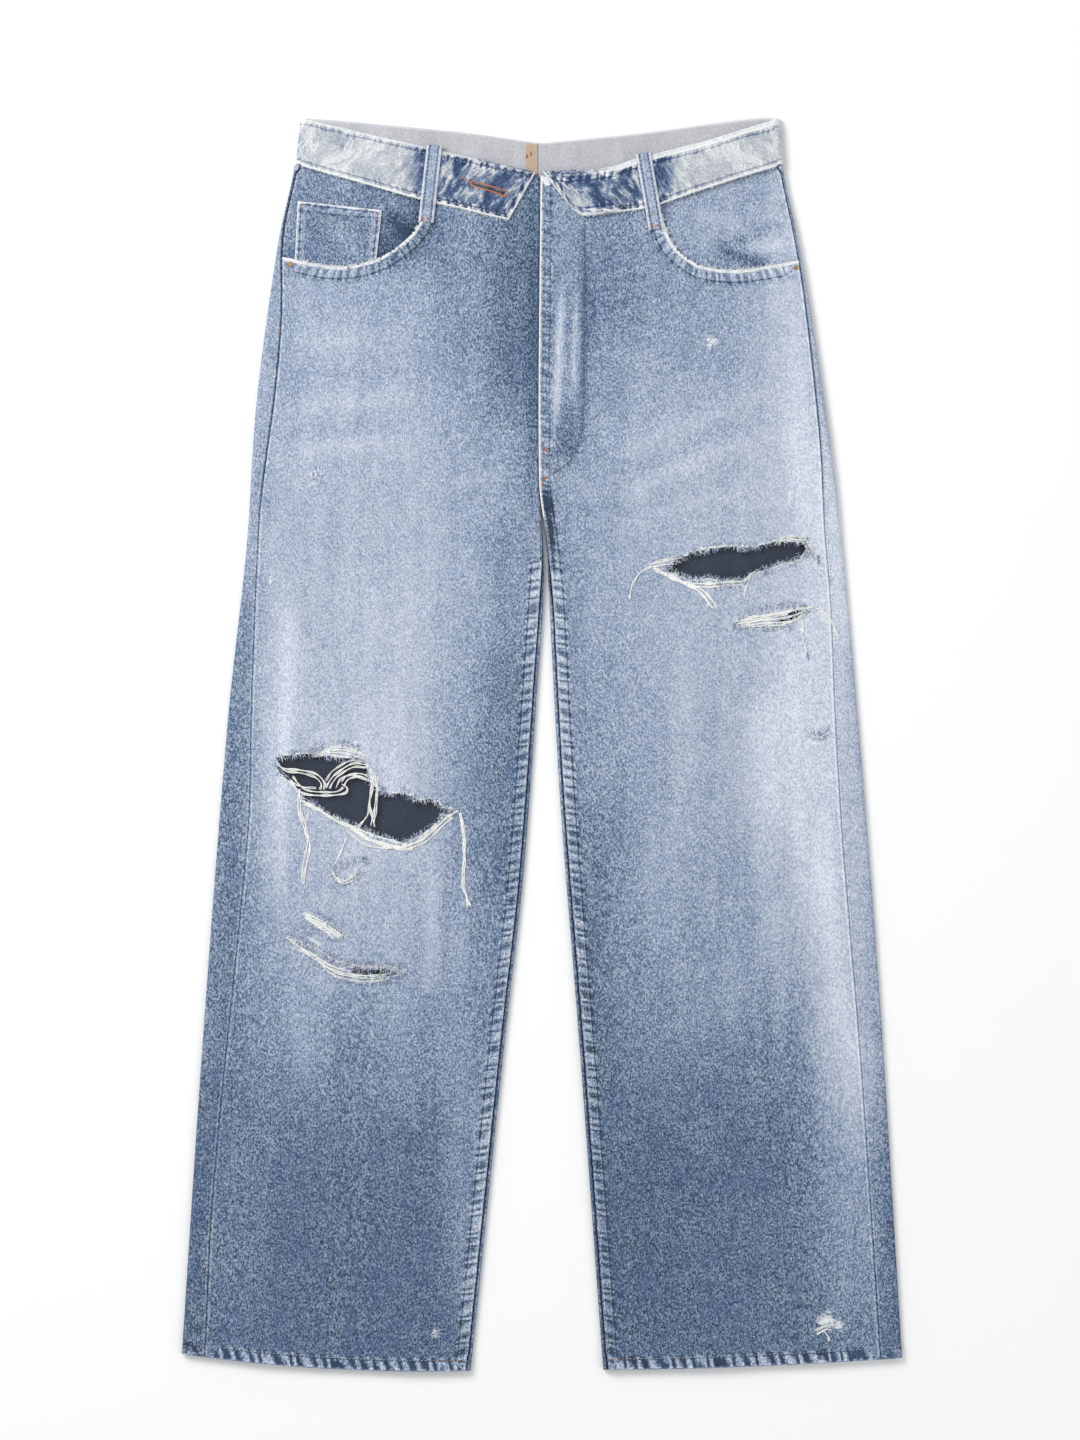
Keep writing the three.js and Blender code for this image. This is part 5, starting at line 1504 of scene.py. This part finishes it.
def patch(name, node, corners, low, high, tone, columns, rows, flat, area, belly=0.0, hem=0.0, foot=None):
    """A flat sewn-on piece, ruled between its left and right edges, with rolled edges.

    A hem is a raised band of that width along its top. A foot is the line where another piece covers it.
    """
    u = np.concatenate([[0, 0.01, 0.03], np.linspace(0.07, 0.93, columns), [0.97, 0.99, 1.0]])[None]
    v = np.concatenate([[0, 0.01, 0.03], np.linspace(0.07, 0.93, rows), [0.97, 0.99, 1.0]])[:, None]
    a, b, c, d = (np.array(p, float) for p in corners)
    top, low_end = a + (b - a) * u[..., None], d + (c - d) * u[..., None]
    reach = np.ones(u.shape)
    if foot is not None:
        covered = np.interp(low_end[..., 0], foot[:, 0], foot[:, 1])
        reach = (top[..., 1] - covered) / (top[..., 1] - low_end[..., 1])
    plan = top + (low_end - top) * (v * reach)[..., None]
    plan[..., 1] += belly * v * (1 - np.abs(2 * u - 1))
    x, y = plan[..., 0], plan[..., 1]
    width, height = np.linalg.norm(b - a), np.linalg.norm(d - a)
    across, down = np.minimum(u, 1 - u) * width, v * height
    rim = np.minimum(across, down if foot is not None else np.minimum(down, height - down))
    squeeze = rounded_rim(rim, 1.0)
    middle, half = (low + high) / 2, (high - low) / 2
    face = middle + half * (0.2 + 0.8 * squeeze)
    back = middle - half * (0.2 + 0.8 * squeeze)
    fade, line = tone, 0
    worn = 0.75 * bell(rim, 1.3)
    if hem:
        banded = falloff(down, hem - 0.8, hem + 0.8)
        face = face + 0.25 * soft_noise(x, y, 18, 33) * squeeze + 0.35 * falloff(rim, 8, 9)
        face = face + 0.6 * banded - 0.3 * bell(down - hem - 1.2, 1.2)
        line = LINE_MARK + down - hem - 0.8
        fade = fade + 0.14 * banded + 0.24 * falloff(across, 6, 9) + 0.16 * spot(x, y, -168, 428, 9, 20, 24)
        worn = np.maximum(worn, (0.75 + 0.35 * soft_noise(x, y, 5, 34)) * bell(down, 3.2))
    run = np.where(across < down, y, x + 300) / 8
    attributes = {"fade": fade, "worn": worn, "edge": rim, "band": 3, "run": run, "draw": 0.6, "line": line}
    made = wall(name, np.stack([x, y, face], -1), np.stack([x, y, back], -1), ["washed denim"], attributes)
    declare(made, node, "denim", flat=flat, held="laid", area=area)


def front_loop(side):
    """A belt loop: a folded strip over the turned-down band and onto the panel below."""
    top, foot = (np.array(p) for p in FRONT_LOOPS[side])
    direction = (foot - top) / np.linalg.norm(foot - top)
    length = np.linalg.norm(foot - top)
    half_width, thickness = 6.5, 2.0
    on_band = BAND_HIGH + BAND / 2 + SEAM_GAP
    on_panel = FRONT_TOP + DENIM / 2 + SEAM_GAP
    s = np.concatenate([np.linspace(-2.6, 2, 9), np.linspace(3, 46, 30), np.linspace(47, 52, 9),
                        np.linspace(53, length, 12)])
    low = np.interp(s, [-2.6, -1.6, -0.4, 1.0, 46.5, 51.5, 80],
                    [on_band - 4.2, on_band - 1.6, on_band - 0.2, on_band, on_band, on_panel, on_panel])
    low = low + 0.3 * np.sin(math.pi * np.clip(s / 46, 0, 1))
    low = low + button_bulge(top[0] + direction[0] * s, top[1] + direction[1] * s)
    side_u = np.array([0.12, 0.25, 0.36, 0.45, 0.52, 0.58, 0.64, 0.72, 0.82, 0.9, 0.95, 0.98, 1.0])
    u = np.concatenate([-side_u[::-1], [0], side_u])
    rim = np.minimum((1 - np.abs(u)) * half_width, 2)[None]
    squeeze = rounded_rim(rim, 1.0)
    ridge = (0.3 * bell(np.abs(u) - 0.8, 0.13) - 0.55 * bell(np.abs(u) - 0.56, 0.07))[None]
    x = top[0] + direction[0] * s[:, None] - direction[1] * u[None] * half_width
    y = top[1] + direction[1] * s[:, None] + direction[0] * u[None] * half_width
    middle, half = low[:, None] + thickness / 2, thickness / 2 * (0.2 + 0.8 * squeeze)
    face, back = middle + half + ridge * squeeze, middle - half
    edge = (1 - np.abs(u))[None] * half_width
    worn = 0.55 * bell(edge, 1.2) + 0.1
    stitched = 2.9
    attributes = {"fade": 0.72 - 0.12 * bell(u[None], 0.3), "worn": worn, "edge": edge, "band": stitched,
                  "run": s[:, None] / 6, "draw": 0.15, "line": LINE_MARK + edge - stitched}
    made = wall(f"cloth_belt_loop_{side}", np.stack([x, y, face], -1), np.stack([x, y, back], -1),
                ["washed denim"], attributes)
    declare(made, f"belt_loop_front_{side}", "denim", flat=(0.026, 0.07), held="folded",
            rests_on=[f"cloth_turned_end_{side}"], area=0.0010)


# ------------------------------------------------------------
# Threads

def line_length(points):
    return np.linalg.norm(np.diff(np.array(points, float), axis=0), axis=1).sum()


def stitch_rows(name, ground, lines, thread, pitch=None, rise=0.12):
    """Rows of single stitches laid on the cloth."""
    pitch = pitch or sizes().stitch_pitch / MM
    share, radius = 0.74, sizes().thread_radius / MM
    stitches = []
    for line in lines:
        count = max(int(line_length(line) / pitch), 1)
        for k in range(count):
            ends = along_line(line, np.array([k, k + share / 2, k + share]) / count)
            laid = ground.lay(ends, rise)
            if len(laid) == 3:
                laid[[0, 2], 2] -= radius * 0.9
                stitches.append(laid)
    tubes(name, stitches, radius, thread, sides=4)


def hairs_along(ground, points, count, length, seed, lean=None):
    """Short loose fibres rooted along a line, pointing every way or leaning roughly one way."""
    rng = np.random.default_rng(seed)
    lines = []
    for x, y in along_line(points, np.sort(rng.uniform(0, 1, count))):
        height = ground.height(x, y)
        if height is None:
            continue
        angle = rng.uniform(0, 2 * math.pi) if lean is None else lean + rng.normal(0, 0.35)
        reach = length * rng.uniform(0.4, 1.3)
        bend = rng.normal(0, 0.5)
        t = np.linspace(0, 1, 4)
        along = np.stack([np.cos(angle + bend * t), np.sin(angle + bend * t)], -1)
        plan = [x, y] + np.cumsum(along, axis=0) * reach / 4
        rise = 0.3 + rng.uniform(0.1, 0.9) * np.sin(math.pi * t * rng.uniform(0.4, 1.0))
        lines.append(np.vstack([[x, y, height], np.column_stack([plan, height + rise])]))
    return lines


def offset_line(points, shift):
    """A line moved sideways by the given distance, to its left."""
    points = np.array(points, float)
    ahead = np.gradient(points, axis=0)
    ahead /= np.linalg.norm(ahead, axis=1, keepdims=True)
    return points + shift * np.stack([-ahead[:, 1], ahead[:, 0]], -1)


def leg_line(leg, rows, distance_of):
    """A line down a leg, at a distance from its side edge that the given rule finds for each row."""
    s = leg.section(rows)
    return leg.place(s, distance_of(s), 0.0)[:, :2]


def front_stitching(side):
    """Rows of stitches on one front: the grey ones and the copper ones."""
    leg = LEGS[side]
    grey, copper = [], []
    rows = np.linspace(leg.row_at_side(YOKE_SIDE), 0.999, 120)
    grey.append(leg_line(leg, rows, lambda s: s.seam - SIDE_SEAM_GAP - 1.6))
    low = np.linspace(leg.row_at_centre(195), 0.999, 90)
    for inset in (2.2, 7.4):
        grey.append(leg_line(leg, low, lambda s, inset=inset: s.front_end - inset))
    hem_row = np.full(60, 1 - HEM_STITCH / leg.length)
    s = leg.section(hem_row)
    hem = leg.place(s, lerp(s.seam - 14, s.front_end - 1, np.linspace(0, 1, 60)), 0.0)[:, :2]
    change = 51 if side == "left" else 55
    grey.append(hem[:change + 1])
    copper.append(hem[change:])
    mouth = rounded_line(POCKET_MOUTH[side], 60)
    turn = 1 if side == "right" else -1
    grey += [offset_line(mouth, turn * shift)[2:-4] for shift in (3.0, 8.6)]
    top, foot = (np.array(v) for v in FRONT_LOOPS[side])
    ahead = (foot - top) / np.linalg.norm(foot - top)
    beside = np.array([-ahead[1], ahead[0]])
    grey += [[top + beside * shift + ahead, foot + beside * shift - ahead] for shift in (-3.6, 3.6)]
    for back in (1.6, 2.6, 3.4):
        copper.append([foot - ahead * back - beside * 4.6, foot - ahead * back + beside * 4.6])
    return grey, copper


def band_stitching(side):
    """Stitches round a turned-down band end."""
    fold = along_line(FOLD_LINE[side], np.linspace(0.02, 0.97, 60))
    free = along_line(FREE_EDGE[side], np.linspace(0.02, 0.97, 60))
    inward = free - fold
    inward /= np.linalg.norm(inward, axis=1, keepdims=True)
    end = np.array([fold[-1] + inward[-1] * 5, free[-1] - inward[-1] * 5])
    return [fold + inward * 5.2, free - inward * 4.0, end]


def crossbar(x, y, half, lean):
    """Three short stitches side by side, which hold a corner."""
    a = math.radians(lean)
    half_bar, beside = half * np.array([math.cos(a), math.sin(a)]), np.array([-math.sin(a), math.cos(a)])
    middles = [np.array([x, y]) + beside * k for k in (-0.5, 0.1, 0.7)]
    return [[middle - half_bar, middle + half_bar] for middle in middles]


# The coin pocket's rows of stitches, and the front's bar tacks, (x, y, half length, lean in degrees)
COIN_ROWS = [((-207, 447), (-137.6, 439.9)), ((-207, 444.6), (-137.8, 437.4)), ((-205.6, 458), (-207.8, 413)),
             ((-201.6, 458), (-203.6, 413)), ((-138.6, 451), (-142.8, 414)), ((-143.2, 451), (-147.2, 413))]
BAR_TACKS = [(-204, 457, 3.4, 80), (-140.5, 449, 3.4, 84), (2.4, 250.8, 3.2, -8), (3.2, 248.6, 3.2, -8),
             (0.6, 222, 3.0, 70), (2.8, 226, 3.0, 60), (-9.5, 502, 3.0, 80), (-13, 500, 3.0, 84)]


def fly_stitching():
    """Rows of stitches at the fly: grey ones beside its edge, and brown ones down to its curved foot."""
    edge = np.array([(LEGS["right"].inner_edge(y), y) for y in np.linspace(452, 215, 60)])
    grey = [edge + [inset, 0] for inset in (2.6, 8.8)]
    curve = rounded_line([(35.8, 440), (35.6, 340), (35, 290), (33.4, 267), (30.2, 252), (24.2, 242),
                          (16.5, 235), (7, 229)], 80)
    brown = [((0.8, 249), (0.6, 226)), ((5.0, 249), (4.6, 228))]
    for row in (curve, offset_line(curve, -2.4)):
        brown += [row[:52], row[52:]]
    return grey, brown


def buttonhole(ground):
    """The worked edge of the buttonhole with its loose end, and the slit inside it as painted shade."""
    hole = [(-34, 470.2), (-46, 473.8), (-58.5, 477.2), (-60.8, 475.4), (-58.6, 473.6), (-47, 470.2),
            (-36, 466.4), (-32.4, 464.6), (-29.6, 466.2), (-30.4, 469.2), (-34, 470.2)]
    tail = [(-60, 475.5), (-64, 478.4), (-69, 480.8)]
    slit, eye = [(-34, 467.6), (-59, 475.2)], [(-35.4, 468.0), (-32.6, 467.2)]
    rim = [ground.lay(rounded_line(hole, 90), 0.35), ground.lay(rounded_line(tail, 12), 0.35)]
    # The slit and its eye are dark tubes in the shaded inside finish: painted shade in the opening
    dark = [ground.lay(rounded_line(slit, 20), 0.3), ground.lay(rounded_line(eye, 4), 0.25)]
    tubes("stitching_buttonhole", rim, [0.62, 0.45], "copper thread", 6)
    tubes("buttonhole_slit", dark, [0.6, 1.5], "shaded inside", 6)


def plan_box(node):
    """The left, right, near and far edges of a solid."""
    low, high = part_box(node)
    return low[0] / MM, high[0] / MM, low[1] / MM, high[1] / MM


def hidden_stitching():
    """Rows of stitches on the side that lies on the floor: yokes, centre back, pockets and loops."""
    lines = []
    for side, sign in SIGN.items():
        leg = LEGS[side]
        for drop in (3.0, 9.0):
            lines.append([(leg.outline(YOKE_SIDE) - sign * 6, YOKE_SIDE - drop),
                          (leg.inner_edge(YOKE_CENTRE), YOKE_CENTRE - drop)])
        x0, x1, y0, y1 = plan_box(f"back_pocket_{side}")
        for inset in (2.5, 8.5):
            corner = y0 + 22 + inset / 2
            lines.append([(x0 + inset, y1 - 2), (x0 + 6 + inset, corner), ((x0 + x1) / 2, y0 + inset),
                          (x1 - 6 - inset, corner), (x1 - inset, y1 - 2)])
        lines.append([(x0 + 2, y1 - 14), (x1 - 2, y1 - 14)])
    for shift in (3.0, 9.0):
        heights = np.linspace(BAND_BACK_FOOT - 2, 215, 60)
        lines.append([(LEGS["right"].inner_edge(y) + shift, y) for y in heights])
    for name in ("left", "centre", "right"):
        x0, x1, y0, y1 = plan_box(f"belt_loop_back_{name}")
        lines += [[(x0 + 2, y), (x1 - 2, y)] for y in (y1 - 4, y1 - 5.5, y0 + 5.5, y0 + 4)]
    return lines


class Underside(Ground):
    """The side that lies on the floor: its lowest cloth is a sewn-on trim, or else a back panel."""

    def __init__(self):
        self.trims = [plan_box(node) for node in (
            "back_pocket_left", "back_pocket_right", "belt_loop_back_left", "belt_loop_back_centre",
            "belt_loop_back_right")]

    def height(self, x, y):
        on_trim = any(x0 < x < x1 and y0 < y < y1 for x0, x1, y0, y1 in self.trims)
        return 0.0 if on_trim else float(back_height(y)) - DENIM / 2


def yarn_height(ground, x, y):
    """Where a loose yarn lies: level with the front, even across an opening, or low beside the garment."""
    height = ground.height(x, y)
    if height is None:
        return 0.6
    return max(height, float(front_height(y)) + 0.3 if height > 1.0 else 0.6)


def hang_yarns(side, ground):
    """The loose yarns of one leg's rips, each of two twisted plies."""
    rng = np.random.default_rng(11)
    yarns, thick = [], []
    for n, (weight, points) in enumerate(STRANDS[side]):
        length = line_length(points)
        line = rounded_line(points, max(int(length / 1.3), 6))
        beside = offset_line(line, 1.0) - line
        for ply in range(2):
            twist = np.linspace(0, 1, len(line)) * length / 2.6 + 3.1 * ply + n
            plan = line + beside * (0.35 * np.sin(twist) + (ply - 0.5) * 0.55)[:, None]
            heights = [yarn_height(ground, x, y) for x, y in plan]
            heights = np.convolve(np.pad(heights, 2, mode="edge"), np.ones(5) / 5, mode="valid")
            lift = 0.25 + 0.35 * rng.uniform() + 0.25 * np.cos(twist)
            yarns.append(np.column_stack([plan, heights + lift]))
            thick.append(sizes().yarn_radius / MM * weight)
    tubes(f"rip_yarns_{side}", yarns, thick, "cream yarn")


def fray_rips(side, ground):
    """White weft fluff and blue warp ends along one leg's rips and frayed edges."""
    edges = [(outline + outline[:1], 2.6, 4.2) for outline in RIPS[side]]
    edges += [fray for fray in FRAYS if (fray[0][0][0] < 0) == (side == "left")]
    white, blue = [], []
    for n, (points, density, reach) in enumerate(edges):
        count = line_length(points) * density
        white += hairs_along(ground, points, int(count), reach, 100 + n)
        for lean in (math.pi / 2, -math.pi / 2):
            blue += hairs_along(ground, points, int(count * 0.5), reach, 200 + n, lean)
    tubes(f"rip_fraying_white_{side}", white, 0.24, "white yarn", 3)
    tubes(f"rip_fraying_blue_{side}", blue, 0.22, "blue yarn", 3)


def fuzz_edges():
    """Short white fluff along the worn edges of the pockets, the turned-down ends and the fly."""
    ground = Ground(*(f"cloth_{kind}_{side}" for side in SIDES for kind in ("front", "turned_end")),
                    "cloth_coin_pocket")
    fuzz = []
    for n, side in enumerate(SIDES):
        fuzz += hairs_along(ground, rounded_line(POCKET_MOUTH[side], 60), 520, 2.4, 300 + n)
        fuzz += hairs_along(ground, FREE_EDGE[side], 420, 1.6, 310 + n)
        fuzz += hairs_along(ground, np.array(FOLD_LINE[side]) - [0, 1.5], 260, 1.6, 315 + n)
    fuzz += hairs_along(ground, COIN_POCKET[:2], 90, 2.6, 320)
    fuzz += hairs_along(ground, [(1.2, 470), (-0.3, 380), (-1.8, 300)], 200, 1.2, 321)
    tubes("edge_fuzz", fuzz, 0.2, "white yarn", 3)


# ------------------------------------------------------------
# Settings

class JeansSizes(bpy.types.PropertyGroup):
    """Sizes that a user may change"""

    stitch_pitch: bpy.props.FloatProperty(
        name="Stitch pitch", description="Distance between stitches", default=0.0032, unit="LENGTH")
    thread_radius: bpy.props.FloatProperty(
        name="Thread radius", description="Half the thread's thickness", default=0.00042, unit="LENGTH")
    yarn_radius: bpy.props.FloatProperty(
        name="Yarn radius", description="Half the thickness of a loose yarn", default=0.00042, unit="LENGTH")


class JeansColours(bpy.types.PropertyGroup):
    """Colours that a user may change"""

    def paint(label, words, *values):
        return bpy.props.FloatVectorProperty(
            name=label, description=words, default=srgb(*values), subtype="COLOR", size=3, min=0, max=1)

    dark: paint("Dark blue", "The cloth where it has hardly faded", 76, 95, 119)
    mid: paint("Middle blue", "The cloth at half fade", 134, 152, 176)
    pale: paint("Pale blue", "The thighs and knees", 178, 187, 205)
    palest: paint("Palest blue", "The most faded stripes", 226, 232, 242)
    bare: paint("Bare weft", "The white yarns where the blue has worn away", 232, 235, 236)
    # Painted shade: a dark colour for the inside of the legs, standing in for the shade seen through the rips
    shaded_inside: paint("Shaded inside", "The inside of the back, as seen through the rips", 60, 66, 78)
    bleached_inside: paint("Bleached inside", "The inside of the back waistband", 186, 188, 193)
    tint: paint("Blue tint", "Where the dye has stayed richer", 84, 112, 160)
    band_navy: paint("Band navy", "Unfaded cloth of the turned-down ends", 60, 78, 114)
    band_blue: paint("Band blue", "Half-faded cloth of the turned-down ends", 112, 130, 158)
    bleached_band: paint("Bleached band", "The bleached sides of the turned-down ends", 190, 194, 199)
    seam_tape: paint("Seam tape", "The seam at the middle of the back band", 190, 168, 150)
    grey_thread: paint("Grey thread", "Most of the sewing thread", 178, 180, 186)
    copper_thread: paint("Copper thread", "The buttonhole and a few short seams", 190, 122, 82)
    brown_thread: paint("Brown thread", "The curved stitching of the fly", 130, 116, 128)
    cream_yarn: paint("Cream yarn", "Loose weft at the rips", 240, 241, 237)
    white_yarn: paint("White yarn", "Short fibres along worn edges", 240, 244, 248)
    blue_yarn: paint("Blue yarn", "Loose warp at the rips", 152, 172, 204)
    zip_tape: paint("Zip tape", "The tape of the hidden zip", 50, 54, 66)
    metal: paint("Metal", "Button, rivets and zip", 196, 170, 112)
    floor: paint("Floor", "The surface below", 253, 253, 253)

    del paint


class JeansStage(bpy.types.PropertyGroup):
    """Camera and lights"""

    camera_height: bpy.props.FloatProperty(
        name="Camera height", description="Height of the camera above the floor", default=5.0, unit="LENGTH")
    frame_length: bpy.props.FloatProperty(
        name="Frame length", description="Length of floor that the camera takes in, from waist to hem",
        default=1.224, unit="LENGTH")
    key_power: bpy.props.FloatProperty(
        name="Key light", description="Power of the main soft light", default=62.0, unit="POWER")
    fill_power: bpy.props.FloatProperty(
        name="Fill light", description="Power of the fill light", default=18.0, unit="POWER")
    sky: bpy.props.FloatProperty(name="Surround", description="Brightness of the pale surround", default=0.53)


# ------------------------------------------------------------
# Operators

class JEANS_OT_materials(bpy.types.Operator):
    """Make the finishes of cloth, thread and metal"""
    bl_idname = "jeans.materials"
    bl_label = "Materials"

    def execute(self, context):
        make_materials()
        return {"FINISHED"}


class JEANS_OT_backs(bpy.types.Operator):
    """Lay the back panels and yokes"""
    bl_idname = "jeans.backs"
    bl_label = "Back panels and yokes"

    def execute(self, context):
        for side in SIDES:
            back_panels(side)
        return {"FINISHED"}


class JEANS_OT_fronts(bpy.types.Operator):
    """Lay the front panels with their rips, and the pocket facings"""
    bl_idname = "jeans.fronts"
    bl_label = "Front panels"

    def execute(self, context):
        for side in SIDES:
            facing(side)
            front_panel(side)
        return {"FINISHED"}


class JEANS_OT_waistband(bpy.types.Operator):
    """Lay the waistband, its turned-down ends and the front belt loops"""
    bl_idname = "jeans.waistband"
    bl_label = "Waistband"

    def execute(self, context):
        back_band()
        for side in SIDES:
            turned_end(side)
            front_loop(side)
        return {"FINISHED"}


class JEANS_OT_pockets(bpy.types.Operator):
    """Add the coin pocket, the back pockets and the back belt loops"""
    bl_idname = "jeans.pockets"
    bl_label = "Pockets and back loops"

    def execute(self, context):
        low = FRONT_TOP - FACING_DROP + DENIM / 2 + SEAM_GAP
        opening = rounded_line(POCKET_MOUTH["left"], 60) + [0, SEAM_GAP]
        patch("cloth_coin_pocket", "coin_pocket", COIN_POCKET, low, low + DENIM, 0.28, 60, 60, (0.076, 0.05),
              0.0034, hem=9.0, foot=opening)
        for side in SIDES:
            x0, x1, y0, y1 = plan_box(f"back_pocket_{side}")
            corners = [(x0, y1), (x1, y1), (x1 - 6, y0 + 22), (x0 + 6, y0 + 22)]
            patch(f"cloth_back_pocket_{side}", f"back_pocket_{side}", corners, 0.0, TRIM, 0.5, 50, 50,
                  (0.15, 0.15), 0.0205, belly=-22)
        for name in ("left", "centre", "right"):
            x0, x1, y0, y1 = plan_box(f"belt_loop_back_{name}")
            corners = [(x0, y1), (x1, y1), (x1, y0), (x0, y0)]
            patch(f"cloth_belt_loop_back_{name}", f"belt_loop_back_{name}", corners, 0.0, TRIM, 0.4, 8, 20,
                  (0.014, 0.057), 0.00073)
        return {"FINISHED"}


class JEANS_OT_stitching(bpy.types.Operator):
    """Sew every seam with rows of single stitches"""
    bl_idname = "jeans.stitching"
    bl_label = "Stitching"

    def execute(self, context):
        grey, brown = fly_stitching()
        grey += COIN_ROWS
        copper = [bar for tack in BAR_TACKS for bar in crossbar(*tack)] + [((-222.3, 357), (-223.4, 344))]
        for side in SIDES:
            more_grey, more_copper = front_stitching(side)
            grey += more_grey + band_stitching(side)
            copper += more_copper
        kinds = ("front", "back", "turned_end", "belt_loop", "facing")
        ground = Ground(*(f"cloth_{kind}_{side}" for side in SIDES for kind in kinds), "cloth_coin_pocket",
                        "cloth_waistband_back")
        stitch_rows("stitching_grey", ground, grey, "grey thread")
        stitch_rows("stitching_hidden", Underside(), hidden_stitching(), "grey thread", 6.0, 0.3)
        stitch_rows("stitching_copper", ground, copper, "copper thread")
        stitch_rows("stitching_brown", ground, brown, "brown thread")
        buttonhole(ground)
        return {"FINISHED"}


class JEANS_OT_rips(bpy.types.Operator):
    """Hang loose yarns across the rips and fray their edges"""
    bl_idname = "jeans.rips"
    bl_label = "Loose yarns and fraying"

    def execute(self, context):
        ground = Ground(*(f"cloth_{kind}_{side}" for side in SIDES for kind in ("front", "back")))
        for side in SIDES:
            hang_yarns(side, ground)
            fray_rips(side, ground)
        fuzz_edges()
        return {"FINISHED"}


class JEANS_OT_trims(bpy.types.Operator):
    """Finish the zip, the waist button and the rivets"""
    bl_idname = "jeans.trims"
    bl_label = "Zip, button and rivets"

    def execute(self, context):
        for node in ("waist_button", "rivet_left", "rivet_right", "zip_slider", "zip"):
            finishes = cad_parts[node].data.materials
            finishes.clear()
            finishes.append(material("zip tape" if node == "zip" else "dull brass"))

        (x0, y0, z0), (x1, y1, z1) = (np.array(corner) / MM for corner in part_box("zip"))
        middle, half, level = (x0 + x1) / 2, 3.3, (z0 + z1) / 2
        teeth = []
        for k, y in enumerate(np.arange(y0 + 1, y1 - 1, 1.1)):
            inner, outer = (-0.5, half) if k % 2 else (0.5, -half)
            teeth.append([(middle + inner, y, level), (middle + outer, y, level)])
        tubes("zip_teeth", teeth, 0.5, "dull brass", 6)

        rings = []
        circle = np.linspace(0, 2 * math.pi, 37)
        for node, share, drop in (("waist_button", 0.8, 1.9), ("waist_button", 0.45, 1.0),
                                  ("rivet_left", 0.62, 0.1), ("rivet_right", 0.62, 0.1)):
            (x0, y0, z0), (x1, y1, z1) = (np.array(corner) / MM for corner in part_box(node))
            radius = share * (x1 - x0) / 2
            x, y = (x0 + x1) / 2 + radius * np.cos(circle), (y0 + y1) / 2 + radius * np.sin(circle)
            rings.append(np.column_stack([x, y, np.full(len(circle), z1 - drop)]))
        tubes("metal_beading", rings, 0.22, "dull brass", 6)
        return {"FINISHED"}


class JEANS_OT_stage(bpy.types.Operator):
    """Set the floor, the soft lights and the camera"""
    bl_idname = "jeans.stage"
    bl_label = "Stage"

    def execute(self, context):
        stage = context.scene.jeans_stage
        mesh = bpy.data.meshes.new("floor")
        reach = 60.0
        mesh.from_pydata([(-reach, -reach, 0), (reach, -reach, 0), (reach, reach, 0), (-reach, reach, 0)], [],
                         [(0, 1, 2, 3)])
        mesh.materials.append(material("pale floor"))
        floor = bpy.data.objects.new("floor", mesh)
        context.scene.collection.objects.link(floor)
        floor.location.z = -0.0002

        world = bpy.data.worlds.new("pale surround")
        world.use_nodes = True
        background = world.node_tree.nodes["Background"]
        background.inputs["Color"].default_value = (1, 1, 1, 1)
        background.inputs["Strength"].default_value = stage.sky
        context.scene.world = world

        for name, where, size, power in (
            ("key light", (-1.6, 1.5, 2.2), 1.6, stage.key_power),
            ("fill light", (1.9, -1.2, 2.4), 2.4, stage.fill_power),
        ):
            lamp = bpy.data.lights.new(name, "AREA")
            lamp.energy, lamp.size = power, size
            lit = bpy.data.objects.new(name, lamp)
            lit.location = where
            lit.rotation_euler = (-Vector(where)).to_track_quat("-Z", "Y").to_euler()
            context.scene.collection.objects.link(lit)

        view = bpy.data.cameras.new("camera")
        view.sensor_width = 36.0
        view.lens = view.sensor_width * stage.camera_height / stage.frame_length
        view.clip_end = 100.0
        camera = bpy.data.objects.new("camera", view)
        camera.location = (-2.1 * MM, 20.4 * MM, stage.camera_height)
        context.scene.collection.objects.link(camera)
        context.scene.camera = camera
        context.scene.view_settings.view_transform = "Standard"
        return {"FINISHED"}


class JEANS_PT_panel(bpy.types.Panel):
    """Lists the steps that build the jeans"""
    bl_idname = "JEANS_PT_panel"
    bl_label = "Jeans"
    bl_space_type = "VIEW_3D"
    bl_region_type = "UI"
    bl_category = "Jeans"

    def draw(self, context):
        for settings in (context.scene.jeans_sizes, context.scene.jeans_colours, context.scene.jeans_stage):
            for key in settings.bl_rna.properties.keys():
                if key not in ("rna_type", "name"):
                    self.layout.prop(settings, key)
        for step in STEPS:
            self.layout.operator(step.bl_idname)


STEPS = [
    JEANS_OT_materials,
    JEANS_OT_stage,
    JEANS_OT_backs,
    JEANS_OT_fronts,
    JEANS_OT_waistband,
    JEANS_OT_pockets,
    JEANS_OT_stitching,
    JEANS_OT_rips,
    JEANS_OT_trims,
]
GROUPS = {"jeans_sizes": JeansSizes, "jeans_colours": JeansColours, "jeans_stage": JeansStage}


def register():
    for part in (*GROUPS.values(), *STEPS, JEANS_PT_panel):
        bpy.utils.register_class(part)
    for key, group in GROUPS.items():
        setattr(bpy.types.Scene, key, bpy.props.PointerProperty(type=group))


def unregister():
    for key in GROUPS:
        delattr(bpy.types.Scene, key)
    for part in (JEANS_PT_panel, *reversed(STEPS), *reversed(list(GROUPS.values()))):
        bpy.utils.unregister_class(part)


def main():
    register()
    bpy.ops.jeans.materials()
    bpy.ops.jeans.stage()
    bpy.ops.jeans.backs()
    bpy.ops.jeans.fronts()
    bpy.ops.jeans.waistband()
    bpy.ops.jeans.pockets()
    bpy.ops.jeans.stitching()
    bpy.ops.jeans.rips()
    bpy.ops.jeans.trims()


if __name__ == "__main__":
    main()
